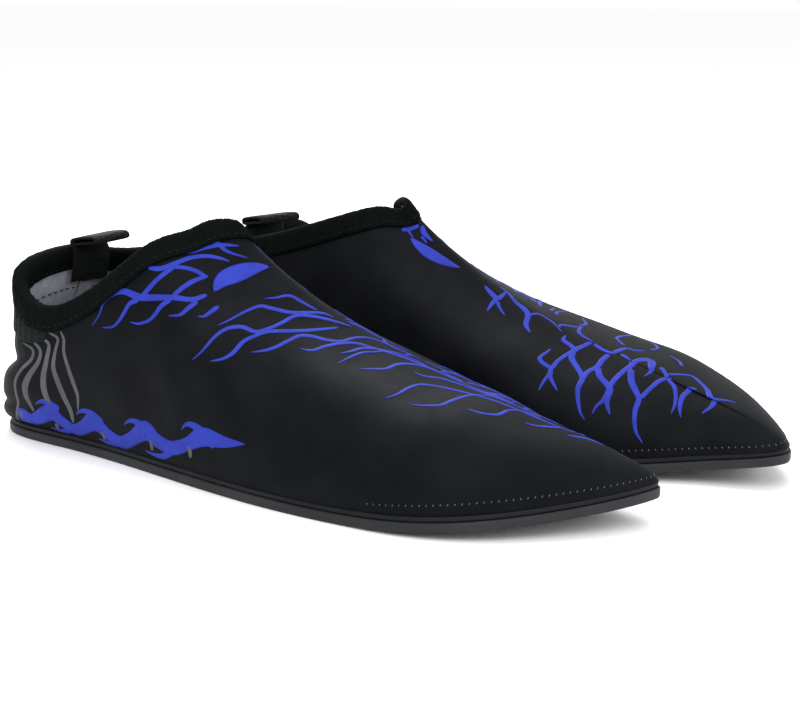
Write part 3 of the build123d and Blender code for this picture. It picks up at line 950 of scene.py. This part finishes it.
OUTER_VEINS = (
    # round the throat
    [(4.64, 0.948, 1.2), (5.0, 0.948, 1.5), (5.5, 0.955, 1.4), (6.05, 0.955, 1.3), (6.5, 0.948, 0.4)],
    [(5.73, 0.97, 1.5), (5.95, 0.96, 1.5), (6.1, 0.94, 1.1), (6.48, 0.92, 0.4)],
    [(3.92, 0.905, 1.3), (4.16, 0.885, 1.7), (4.45, 0.9, 1.7), (4.9, 0.927, 1.5), (5.4, 0.934, 1.4),
     (5.8, 0.927, 1.1), (6.0, 0.918, 0.4)],
    [(4.44, 0.89, 1.4), (4.7, 0.89, 1.5), (4.94, 0.884, 1.5), (5.13, 0.87, 1.3)],
    [(4.55, 0.9, 1.4), (4.28, 0.87, 1.6), (4.05, 0.84, 1.6), (3.88, 0.814, 1.7), (3.7, 0.785, 1.8)],
    [(2.8, 0.764, 0.3), (2.95, 0.814, 0.7), (3.03, 0.863, 1.0), (3.22, 0.877, 1.5), (3.42, 0.85, 1.9),
     (3.66, 0.786, 2.1), (3.96, 0.764, 2.0), (4.25, 0.764, 1.9), (4.56, 0.771, 1.8), (4.92, 0.807, 1.4)],
    [(4.2, 0.764, 1.5), (4.5, 0.814, 1.6), (4.8, 0.85, 1.6), (5.18, 0.877, 1.3)],
    [(3.65, 0.778, 1.8), (3.46, 0.778, 1.5), (3.33, 0.75, 1.4), (3.21, 0.722, 1.1), (3.09, 0.708, 0.8),
     (2.94, 0.729, 0.3)],
    [(4.18, 0.755, 1.6), (3.97, 0.729, 1.6), (3.8, 0.694, 1.4), (3.65, 0.673, 1.1), (3.48, 0.673, 0.7),
     (3.37, 0.694, 0.3)],
    [(4.66, 0.771, 1.6), (4.4, 0.729, 1.5), (4.2, 0.694, 1.1), (4.0, 0.685, 0.3)],
    [(5.06, 0.778, 1.5), (4.81, 0.743, 1.4), (4.63, 0.715, 1.0), (4.5, 0.705, 0.3)],
    # over the instep
    [(4.75, 0.687, 0.3), (5.13, 0.736, 0.8), (5.55, 0.778, 1.0), (5.92, 0.8, 1.3), (6.08, 0.793, 1.5),
     (6.3, 0.778, 1.4), (6.62, 0.771, 1.2), (6.77, 0.764, 0.9), (6.83, 0.75, 0.4)],
    [(6.09, 0.821, 0.3), (6.31, 0.821, 0.8), (6.57, 0.821, 1.1), (6.65, 0.8, 1.1), (6.72, 0.775, 0.5)],
    [(4.0, 0.504, 0.3), (4.26, 0.56, 0.8), (4.64, 0.645, 1.1), (4.95, 0.694, 1.4), (5.24, 0.715, 1.6),
     (5.44, 0.708, 1.4), (5.74, 0.729, 1.4), (6.02, 0.75, 1.4), (6.31, 0.768, 1.3), (6.55, 0.76, 1.3),
     (6.75, 0.74, 1.0), (6.9, 0.72, 0.4)],
    [(4.26, 0.518, 0.3), (4.49, 0.546, 0.9), (4.73, 0.588, 1.3), (5.05, 0.652, 1.4), (5.33, 0.687, 1.4),
     (5.65, 0.715, 1.5), (5.99, 0.722, 1.6), (6.23, 0.722, 1.4), (6.45, 0.722, 1.2), (6.65, 0.722, 0.8)],
    [(5.05, 0.616, 0.3), (5.31, 0.637, 1.0), (5.55, 0.659, 1.3), (5.82, 0.687, 1.4), (6.06, 0.706, 1.4),
     (6.2, 0.7, 1.4), (6.29, 0.687, 1.3), (6.43, 0.68, 1.3), (6.66, 0.687, 1.1), (6.9, 0.68, 0.8),
     (7.2, 0.66, 0.4)],
    [(5.84, 0.659, 0.4), (5.97, 0.652, 1.0), (6.17, 0.666, 1.3), (6.37, 0.673, 1.3), (6.55, 0.67, 1.2),
     (6.65, 0.652, 1.1), (6.72, 0.637, 1.1), (6.83, 0.61, 1.0), (6.95, 0.57, 1.0), (7.0, 0.53, 1.0),
     (7.0, 0.49, 0.9), (6.96, 0.45, 0.8), (6.9, 0.42, 0.4)],
    [(6.2, 0.637, 0.3), (6.37, 0.645, 0.9), (6.52, 0.652, 1.1), (6.69, 0.645, 1.0), (6.9, 0.62, 0.8),
     (7.1, 0.58, 0.4)],
    [(6.01, 0.595, 0.3), (6.25, 0.623, 0.8), (6.44, 0.637, 1.0), (6.58, 0.637, 0.9), (6.72, 0.637, 0.6)],
    [(6.13, 0.574, 0.3), (6.26, 0.574, 0.8), (6.39, 0.574, 1.0), (6.57, 0.588, 1.2), (6.74, 0.588, 1.1),
     (6.9, 0.57, 0.9), (7.1, 0.52, 0.4)],
    [(6.59, 0.56, 0.3), (6.63, 0.54, 0.9), (6.76, 0.53, 1.0), (6.86, 0.5, 1.0), (6.93, 0.46, 0.9),
     (6.95, 0.42, 0.4)],
    [(5.96, 0.447, 0.3), (6.12, 0.468, 0.8), (6.3, 0.496, 1.0), (6.45, 0.508, 1.1), (6.58, 0.492, 1.1),
     (6.68, 0.465, 1.0), (6.75, 0.437, 1.0), (6.79, 0.41, 1.0), (6.82, 0.38, 0.9),
     (6.86, 0.35, 0.9), (6.88, 0.325, 0.8), (6.9, 0.3, 0.7), (6.92, 0.275, 0.4)],
    [(6.08, 0.419, 0.3), (6.16, 0.412, 0.8), (6.27, 0.412, 1.0), (6.42, 0.433, 1.1), (6.61, 0.452, 1.0),
     (6.77, 0.454, 0.9), (6.9, 0.44, 0.7), (7.0, 0.41, 0.4)],
    [(6.81, 0.489, 0.3), (6.88, 0.46, 0.7), (6.93, 0.43, 0.8), (6.95, 0.4, 0.7), (6.96, 0.37, 0.3)],
    [(6.39, 0.391, 0.4), (6.43, 0.37, 1.0), (6.53, 0.363, 1.2), (6.7, 0.382, 1.0), (6.84, 0.378, 0.8),
     (6.95, 0.35, 0.4)],
    [(6.62, 0.327, 0.4), (6.67, 0.313, 0.9), (6.78, 0.306, 1.0), (6.92, 0.3, 0.4)],
    [(6.76, 0.262, 0.4), (6.84, 0.25, 1.0), (6.92, 0.235, 0.9), (6.95, 0.2, 0.4)],
)
INNER_VEINS = (
    [(8.07, 0.983, 1.6), (8.04, 0.969, 1.7), (8.19, 0.948, 1.0), (8.19, 0.927, 0.3)],
    [(8.5, 0.948, 1.4), (8.11, 0.955, 1.8), (7.5, 0.955, 1.3)],
    [(7.3, 0.95, 1.1), (7.55, 0.941, 1.8), (7.58, 0.927, 1.4), (7.55, 0.912, 0.4)],
    [(7.81, 0.934, 1.1), (7.83, 0.912, 0.4)],
    [(7.56, 0.778, 0.7), (7.65, 0.757, 1.6), (7.69, 0.736, 1.9), (7.43, 0.743, 1.2), (7.1, 0.743, 0.4)],
    [(7.7, 0.736, 1.7), (7.98, 0.715, 1.3), (8.22, 0.687, 0.4)],
    [(7.76, 0.729, 1.3), (7.92, 0.701, 1.0), (8.02, 0.673, 0.4)],
    [(6.9, 0.757, 0.6), (7.05, 0.736, 1.0), (7.42, 0.715, 1.4), (7.48, 0.694, 1.8), (7.62, 0.673, 1.8),
     (7.92, 0.637, 1.6), (8.06, 0.602, 0.6)],
    [(7.62, 0.673, 1.0), (7.3, 0.668, 1.0), (7.35, 0.64, 0.8), (7.56, 0.605, 0.4)],
    [(7.57, 0.595, 0.4), (7.76, 0.575, 1.4), (7.8, 0.553, 1.6), (7.87, 0.532, 1.6), (8.09, 0.504, 1.4),
     (8.32, 0.468, 1.4), (8.49, 0.433, 1.6), (8.48, 0.472, 1.4), (8.27, 0.511, 0.9), (8.13, 0.532, 0.3)],
    [(8.49, 0.433, 1.6), (8.6, 0.398, 1.3), (8.78, 0.341, 0.9), (8.88, 0.299, 0.3)],
    [(8.53, 0.419, 1.6), (8.64, 0.377, 1.3), (8.7, 0.334, 0.9), (8.73, 0.306, 0.3)],
    [(7.45, 0.62, 0.4), (7.0, 0.62, 1.1), (6.75, 0.6, 1.2), (6.6, 0.58, 0.9)],
    [(6.55, 0.585, 0.9), (6.86, 0.585, 1.3), (6.97, 0.567, 1.4), (7.1, 0.553, 1.7), (7.4, 0.535, 1.8),
     (7.35, 0.518, 1.9), (6.9, 0.504, 1.7), (6.65, 0.489, 1.5), (6.6, 0.47, 1.1), (6.5, 0.447, 0.4)],
    [(7.1, 0.553, 1.5), (7.63, 0.55, 1.6), (7.87, 0.53, 1.8), (8.09, 0.489, 2.0), (8.22, 0.44, 1.8),
     (8.35, 0.384, 1.8), (8.53, 0.327, 1.6), (8.64, 0.271, 1.3), (8.72, 0.207, 0.8), (8.73, 0.172, 0.3)],
    [(8.37, 0.377, 1.6), (8.19, 0.419, 1.6), (8.0, 0.447, 1.8), (7.74, 0.489, 1.8), (7.5, 0.511, 1.6)],
    [(7.96, 0.454, 1.8), (8.15, 0.398, 2.0), (8.22, 0.355, 2.0), (8.27, 0.327, 2.1), (8.42, 0.271, 1.6),
     (8.48, 0.236, 1.2), (8.52, 0.2, 0.4)],
    [(8.27, 0.327, 1.6), (8.45, 0.271, 1.3), (8.55, 0.243, 0.8), (8.65, 0.2, 0.3)],
    [(8.26, 0.334, 1.6), (8.05, 0.384, 1.6), (7.77, 0.433, 1.7), (7.45, 0.465, 1.8), (7.05, 0.475, 1.8),
     (6.9, 0.492, 1.4)],
    [(7.45, 0.465, 1.8), (6.95, 0.461, 1.8), (6.75, 0.445, 2.8), (6.75, 0.432, 2.8), (6.95, 0.426, 1.8),
     (7.45, 0.426, 1.0), (7.68, 0.405, 0.3)],
    [(7.61, 0.447, 1.9), (7.9, 0.384, 2.1), (8.03, 0.334, 2.0), (8.13, 0.285, 1.6), (8.28, 0.229, 1.5),
     (8.38, 0.172, 1.3), (8.43, 0.116, 0.9), (8.42, 0.066, 0.3)],
    [(8.12, 0.285, 1.5), (7.91, 0.334, 1.4), (7.61, 0.384, 1.5), (7.1, 0.391, 1.5), (6.9, 0.395, 1.4),
     (6.78, 0.41, 1.6)],
    [(7.1, 0.391, 1.5), (7.5, 0.365, 1.4), (7.72, 0.313, 1.2), (7.9, 0.257, 0.9), (8.04, 0.207, 0.3)],
    [(6.9, 0.391, 1.3), (6.75, 0.37, 1.1), (6.65, 0.341, 1.2), (6.7, 0.32, 1.4), (6.8, 0.3, 1.6),
     (7.0, 0.285, 1.9), (7.3, 0.28, 1.7), (7.55, 0.255, 1.3), (7.77, 0.214, 0.4)],
    [(7.1, 0.285, 1.8), (6.95, 0.27, 1.5), (6.85, 0.245, 1.2), (6.82, 0.225, 0.4)],
    [(6.9, 0.32, 1.5), (7.1, 0.34, 1.6), (7.4, 0.34, 1.7), (7.68, 0.306, 1.6), (7.89, 0.243, 1.2),
     (8.0, 0.186, 0.3)],
)
# a plain leaf on each side of the throat
LEAVES = (
    [(5.12, 0.825, 0.6), (5.4, 0.86, 5.0), (5.75, 0.882, 7.6), (6.15, 0.893, 7.2), (6.5, 0.897, 4.4),
     (6.8, 0.895, 0.6)],
    [(8.3, 0.93, 0.6), (8.2, 0.91, 3.4), (8.05, 0.885, 5.0), (7.85, 0.86, 3.8), (7.6, 0.835, 0.6)],
)
STRIPES = (
    [(1.56, 0.75, 0.4), (1.8, 0.72, 1.0), (1.74, 0.645, 1.1), (1.5, 0.56, 1.3), (1.38, 0.45, 1.3),
     (1.38, 0.3, 1.2),
     (1.33, 0.15, 1.2), (1.27, 0.03, 0.8)],
    [(1.83, 0.778, 0.8), (1.95, 0.715, 1.2), (1.87, 0.623, 1.5), (1.66, 0.504, 2.2), (1.57, 0.398, 2.6),
     (1.58, 0.278, 2.0), (1.63, 0.18, 0.8)],
    [(2.03, 0.807, 0.8), (2.12, 0.743, 1.3), (2.03, 0.637, 1.7), (1.93, 0.518, 2.2),
     (1.88, 0.391, 2.6), (1.89, 0.25, 2.2)],
    [(2.13, 0.842, 0.5), (2.28, 0.778, 1.0), (2.2, 0.687, 1.2), (2.11, 0.574, 1.7), (2.11, 0.461, 2.1),
     (2.13, 0.334, 2.3), (2.14, 0.214, 2.0), (2.12, 0.11, 1.0)],
    [(2.33, 0.835, 0.5), (2.37, 0.757, 1.1), (2.33, 0.666, 1.2), (2.32, 0.546, 1.5), (2.32, 0.433, 1.7),
     (2.32, 0.327, 1.3), (2.24, 0.207, 0.4)],
)
# the flame band: its middle line, then a hook over each crest and a barb under each trough, both
# given from the hook's tip and repeated at the places listed
FLAME_BODY = [
    (1.34, 0.125, 4.5), (1.45, 0.12, 7.0), (1.6, 0.1, 5.2), (1.85, 0.18, 6.9), (1.97, 0.11, 5.6),
    (2.1, 0.055, 5.4),
    (2.24, 0.09, 5.4), (2.4, 0.14, 7.2), (2.53, 0.075, 5.6), (2.68, 0.045, 5.4), (2.84, 0.09, 5.4),
    (3.02, 0.148, 7.5),
    (3.13, 0.11, 6.0), (3.28, 0.09, 5.4), (3.48, 0.13, 4.8), (3.68, 0.178, 6.8), (3.9, 0.178, 4.2),
    (4.15, 0.193, 0.3),
]
FLAME_HOOK = [(0.0, 0.0, 0.4), (0.06, 0.024, 1.1), (0.13, 0.034, 2.0), (0.22, 0.015, 3.2),
              (0.32, -0.045, 3.6)]
FLAME_BARB = [(0.0, 0.0, 0.4), (0.08, -0.012, 1.5), (0.19, -0.008, 2.4), (0.32, 0.03, 2.6)]
HOOK_TIPS = ((1.67, 0.25), (2.19, 0.18), (2.77, 0.155), (3.46, 0.19))
BARB_TIPS = ((1.77, 0.032), (2.38, 0.03), (2.95, 0.04))
BEADS = ((1.42, 0.145), (1.88, 0.062), (2.47, 0.06), (3.05, 0.078), (3.48, 0.095))


OUTER_REACH, INNER_REACH = 6.6, 7.0     # how far over the ridge each set runs on the other shoe


def vein_strokes(side):
    """Both sets of veins. On the ridge over the toes they would tangle, so there the right shoe
    keeps the outer set's lines and the left shoe the inner set's."""
    outer, inner = OUTER_VEINS, INNER_VEINS
    if side == "right":
        inner = [[stop for stop in stroke if stop[0] >= INNER_REACH] for stroke in inner]
    else:
        outer = [[stop for stop in stroke if stop[0] <= OUTER_REACH] for stroke in outer]
    return [stroke for stroke in (*outer, *inner) if len(stroke) > 1]


def flame_strokes():
    """The band, with its hook and its barb repeated at each of their places."""
    repeats = ((FLAME_HOOK, HOOK_TIPS), (FLAME_BARB, BARB_TIPS))
    return [FLAME_BODY] + [
        [(at + du, height + dr, width) for du, dr, width in stroke]
        for stroke, tips in repeats for at, height in tips
    ]


def bead_strokes():
    """Short grey ovals under each wave."""
    return [[(u + 0.01, r + 0.028, 1.2), (u, r, 2.0), (u - 0.01, r - 0.028, 1.2)] for u, r in BEADS]


def smooth_path(stops, step=0.12):
    """A smooth line through the stops: a cubic through each four in turn."""
    stops = np.asarray(stops, float)
    padded = np.concatenate([2 * stops[:1] - stops[1:2], stops, 2 * stops[-1:] - stops[-2:-1]])
    t = np.arange(0, 1, step)[:, None]
    parts = []
    for a, b, c, d in zip(padded, padded[1:], padded[2:], padded[3:]):
        parts.append(b + 0.5 * t * (c - a + t * (2 * a - 5 * b + 4 * c - d + t * (3 * (b - c) + d - a))))
    return np.concatenate(parts + [stops[-1:]])


def onto_wall(target, u, r):
    """Values of u and r whose wall points lie nearest to the targets: Newton steps on the tangents,
    each no longer than a tenth of a station."""
    step = 0.004
    for _ in range(12):
        low, high = np.clip(r - step, 0, 1), np.clip(r + step, 0, 1)
        by_u = (smooth_wall(u + step, r) - smooth_wall(u - step, r)) / (2 * step)
        by_r = (smooth_wall(u, high) - smooth_wall(u, low)) / (high - low)[..., None]
        miss = target - smooth_wall(u, r)
        uu, rr, ur = (by_u**2).sum(-1), (by_r**2).sum(-1), (by_u * by_r).sum(-1)
        mu, mr = (miss * by_u).sum(-1), (miss * by_r).sum(-1)
        det = uu * rr - ur**2 + 1e-6 * uu * rr
        u = u + np.clip((rr * mu - ur * mr) / det, -0.1, 0.1)
        r = np.clip(r + np.clip((uu * mr - ur * mu) / det, -0.03, 0.03), 0.004, 0.996)
    return u, r


def ink_grid(stroke, ink_rise, weight):
    """One stroke as a thin closed ribbon that lies on the wall: a smooth line through the stops in
    space, widened to both sides and laid back on the wall, pointed at each end."""
    stops = np.array(stroke, float)
    middle = smooth_wall(stops[:, 0], stops[:, 1])
    path = smooth_path(np.concatenate([middle, stops], axis=1))
    here, u, r = path[:, :3], path[:, 3], path[:, 4]
    u, r = onto_wall(here, u, r)
    here = smooth_wall(u, r)
    width = np.clip(path[:, 5] * weight, 0.15, None)
    width = width * np.clip(np.minimum(np.arange(len(u)), np.arange(len(u))[::-1]) / 2.0, 0.02, 1)
    along = np.gradient(here, axis=0)
    left = np.cross(raw_normal(smooth_wall, u, r), along)
    left = left / np.linalg.norm(left, axis=-1, keepdims=True)
    across = np.linspace(-1, 1, 9)
    target = here[None] + left[None] * (across[:, None] * width[None, :] / 2)[..., None]
    shape = target.shape[:2]
    grid_u, grid_r = onto_wall(target, np.broadcast_to(u, shape), np.broadcast_to(r, shape))
    rise = ink_rise * (1 - 0.75 * across**4)
    top = offset_wall(grid_u, grid_r, np.broadcast_to(rise[:, None], grid_u.shape))
    under = offset_wall(grid_u[::-1], grid_r[::-1], np.full(grid_u.shape, -0.1))
    points = np.concatenate([top, under])
    points[:, 0], points[:, -1] = points[:, 0].mean(axis=0), points[:, -1].mean(axis=0)
    return points, np.arange(len(points)) * 0.5, run_of(here)


def make_ink(name, side, strokes, ink, bends, ink_rise, weight=1.0):
    """One print: its strokes as one piece, baked in place like the upper or riding at the heel."""
    grids = [ink_grid(stroke, ink_rise, weight) for stroke in strokes]
    piece = joined_grids(f"{side}_{name}", grids, [ink], side)
    return flexes(piece) if bends else rides(piece, side, "rear")


# ---- the stage ----

def place_camera(view):
    """The camera looks at a point just above the pair's centre."""
    data = bpy.data.cameras.new("camera")
    camera = bpy.data.objects.new("camera", data)
    bpy.context.scene.collection.objects.link(camera)
    azimuth, elevation = view.azimuth, view.elevation
    back = Vector((math.sin(azimuth) * math.cos(elevation), -math.cos(azimuth) * math.cos(elevation),
                   math.sin(elevation)))
    aim = Vector((view.aim[0], view.aim[1], view.aim[2]))
    camera.location = aim + back * view.distance
    camera.rotation_euler = back.to_track_quat("Z", "Y").to_euler()
    data.lens = view.lens
    data.clip_start = 0.01
    bpy.context.scene.camera = camera


def area_light(name, place, aim, size, power, color=(1, 1, 1)):
    """A round area light at one place, turned towards its aim."""
    data = bpy.data.lights.new(name, "AREA")
    data.shape, data.size, data.energy, data.color = "DISK", size, power, color
    light = bpy.data.objects.new(name, data)
    bpy.context.scene.collection.objects.link(light)
    light.location = place
    light.rotation_euler = (Vector(place) - Vector(aim)).to_track_quat("Z", "Y").to_euler()


def make_stage():
    """The floor, the white surroundings, four lights and the camera."""
    scene = bpy.context.scene
    floor = mesh_object("floor", np.array([(-12, -12, 0), (12, -12, 0), (12, 12, 0), (-12, 12, 0)], float),
                        [[0, 1, 2, 3]], [])
    paint = material("pale floor", (0.97, 0.97, 0.97), 0.8, specular=0.1)
    floor.data.materials.append(paint)
    world = bpy.data.worlds.new("studio")
    world.use_nodes = True
    world.node_tree.nodes["Background"].inputs["Color"].default_value = (1, 1, 1, 1)
    world.node_tree.nodes["Background"].inputs["Strength"].default_value = 1.0
    scene.world = world
    middle = (0, 0, 0.04)
    area_light("key", (0.5, -1.1, 1.2), middle, 1.0, 11)
    area_light("top", (-0.2, 0.1, 1.5), middle, 1.4, 9, (0.94, 0.97, 1.0))
    area_light("rim", (-0.9, 0.9, 0.9), middle, 0.8, 11, (0.92, 0.96, 1.0))
    area_light("toe", (1.2, 0.1, 0.55), middle, 0.7, 6)
    place_camera(scene.water_shoe_view)
    scene.view_settings.view_transform = "Standard"


# ---- the add-on ----

def color_property(name, description, default):
    """A colour for the panel."""
    return bpy.props.FloatVectorProperty(name=name, description=description, default=default,
                                         subtype="COLOR", size=3, min=0, max=1)


class WaterShoeColors(bpy.types.PropertyGroup):
    """Colours of the materials."""

    neoprene: color_property("Neoprene", "Face of the upper", (0.0020, 0.0024, 0.0034))
    lining: color_property("Lining", "Jersey inside the shoe", (0.36, 0.36, 0.42))
    binding: color_property("Binding", "Tape round the collar", (0.0012, 0.0022, 0.0017))
    elastic: color_property("Elastic", "Panel round the heel", (0.0045, 0.0062, 0.0058))
    webbing: color_property("Webbing", "Pull tab", (0.0024, 0.0036, 0.0031))
    rubber: color_property("Rubber", "Outsole", (0.015, 0.016, 0.018))
    midsole: color_property("Midsole", "Layer above the outsole", (0.003, 0.0034, 0.0038))
    ink: color_property("Ink", "Printed veins and flames", (0.020, 0.034, 0.34))
    stripe: color_property("Stripe", "Printed heel stripes", (0.078, 0.078, 0.083))


def length_property(name, description, default):
    """A length in mm for the panel."""
    return bpy.props.FloatProperty(name=name, description=description + ", in mm", default=default, min=0.01)


class WaterShoeSizes(bpy.types.PropertyGroup):
    """Sizes of the stitches, the prints and the tab."""

    sole_pitch: length_property("Sole Pitch", "Run from stitch to stitch round the toe", 2.3)
    collar_pitch: length_property("Collar Pitch", "Run from stitch to stitch on the tape", 2.6)
    ink_rise: length_property("Ink Thickness", "How far the prints stand off the cloth", 0.16)
    vein_weight: bpy.props.FloatProperty(name="Line Weight", description="Width of veins and stripes",
                                         default=1.22, min=0.2, max=3, subtype="FACTOR")
    tab_lean: bpy.props.FloatProperty(name="Tab Lean", description="Pull tab's lean from upright",
                                      default=math.radians(76), subtype="ANGLE")


class WaterShoeView(bpy.types.PropertyGroup):
    """Where the camera stands."""

    azimuth: bpy.props.FloatProperty(name="Azimuth", description="Camera's turn from the side view",
                                     default=math.radians(34.6), subtype="ANGLE")
    elevation: bpy.props.FloatProperty(name="Elevation", description="Camera's height angle",
                                       default=math.radians(12.7), subtype="ANGLE")
    distance: bpy.props.FloatProperty(name="Distance", description="From the camera to its aim",
                                      default=0.6154, unit="LENGTH")
    lens: bpy.props.FloatProperty(name="Lens", description="Focal length", default=73.4, unit="CAMERA")
    aim: bpy.props.FloatVectorProperty(name="Aim", description="Point the camera looks at",
                                       default=(0.0025, 0.0018, 0.0345), subtype="XYZ", unit="LENGTH")


def for_each_shoe(*makers):
    """Run the makers of some pieces for both shoes."""
    for side in SIDES:
        for make in makers:
            make(side)
    return {"FINISHED"}


class WATERSHOES_OT_upper(bpy.types.Operator):
    """Build the neoprene upper of each shoe"""
    bl_idname = "water_shoes.upper"
    bl_label = "Upper"

    def execute(self, context):
        return for_each_shoe(make_upper)


class WATERSHOES_OT_collar(bpy.types.Operator):
    """Build the folded tape round each collar"""
    bl_idname = "water_shoes.collar"
    bl_label = "Collar Binding"

    def execute(self, context):
        return for_each_shoe(make_binding)


class WATERSHOES_OT_heel(bpy.types.Operator):
    """Build the elastic panel and the inside tape at each heel"""
    bl_idname = "water_shoes.heel"
    bl_label = "Heel Panel and Seam Tape"

    def execute(self, context):
        return for_each_shoe(make_heel_panel, make_seam_tape)


class WATERSHOES_OT_tab(bpy.types.Operator):
    """Build each pull tab, its tail and its bar tacks"""
    bl_idname = "water_shoes.tab"
    bl_label = "Pull Tab"

    def execute(self, context):
        return for_each_shoe(make_pull_tab, make_tab_tail, make_bar_tacks)


class WATERSHOES_OT_soles(bpy.types.Operator):
    """Build the outsole, midsole and insole of each shoe"""
    bl_idname = "water_shoes.soles"
    bl_label = "Soles"

    def execute(self, context):
        return for_each_shoe(make_outsole, make_midsole, make_insole)


class WATERSHOES_OT_stitching(bpy.types.Operator):
    """Build the rows of stitches"""
    bl_idname = "water_shoes.stitching"
    bl_label = "Stitching"

    def execute(self, context):
        return for_each_shoe(make_sole_stitches, make_dark_stitches)


class WATERSHOES_OT_prints(bpy.types.Operator):
    """Lay the printed ink on each upper"""
    bl_idname = "water_shoes.prints"
    bl_label = "Prints"

    def execute(self, context):
        for side in SIDES:
            rise = context.scene.water_shoe_sizes.ink_rise
            weight = context.scene.water_shoe_sizes.vein_weight
            make_ink("veins", side, vein_strokes(side), MADE["ink"], True, rise, weight)
            make_ink("leaves", side, LEAVES, MADE["ink"], True, rise)
            make_ink("flames", side, flame_strokes(), MADE["ink"], False, rise)
            make_ink("stripes", side, STRIPES, MADE["stripe"], False, rise, weight)
            make_ink("beads", side, bead_strokes(), MADE["stripe"], False, 1.5 * rise)
        return {"FINISHED"}


class WATERSHOES_OT_stage(bpy.types.Operator):
    """Set the floor, the lights and the camera"""
    bl_idname = "water_shoes.stage"
    bl_label = "Stage"

    def execute(self, context):
        make_stage()
        return {"FINISHED"}


OPERATORS = (
    WATERSHOES_OT_stage, WATERSHOES_OT_upper, WATERSHOES_OT_collar, WATERSHOES_OT_heel, WATERSHOES_OT_tab,
    WATERSHOES_OT_soles, WATERSHOES_OT_stitching, WATERSHOES_OT_prints,
)


class WATERSHOES_PT_panel(bpy.types.Panel):
    """Lists the pieces and their colours"""
    bl_label = "Water Shoes"
    bl_idname = "WATERSHOES_PT_panel"
    bl_space_type = "VIEW_3D"
    bl_region_type = "UI"
    bl_category = "Water Shoes"

    def draw(self, context):
        for operator in OPERATORS:
            self.layout.operator(operator.bl_idname)
        for name in WaterShoeColors.__annotations__:
            self.layout.prop(context.scene.water_shoe_colors, name)
        for name in WaterShoeSizes.__annotations__:
            self.layout.prop(context.scene.water_shoe_sizes, name)
        for name in WaterShoeView.__annotations__:
            self.layout.prop(context.scene.water_shoe_view, name)


CLASSES = (WaterShoeColors, WaterShoeSizes, WaterShoeView, *OPERATORS, WATERSHOES_PT_panel)


def register():
    for one in CLASSES:
        bpy.utils.register_class(one)
    bpy.types.Scene.water_shoe_colors = bpy.props.PointerProperty(type=WaterShoeColors)
    bpy.types.Scene.water_shoe_sizes = bpy.props.PointerProperty(type=WaterShoeSizes)
    bpy.types.Scene.water_shoe_view = bpy.props.PointerProperty(type=WaterShoeView)


def unregister():
    del bpy.types.Scene.water_shoe_view
    del bpy.types.Scene.water_shoe_sizes
    del bpy.types.Scene.water_shoe_colors
    for one in reversed(CLASSES):
        bpy.utils.unregister_class(one)


def main():
    register()
    make_materials()
    for operator in OPERATORS:
        module, name = operator.bl_idname.split(".")
        getattr(getattr(bpy.ops, module), name)()


if __name__ == "__main__":
    main()
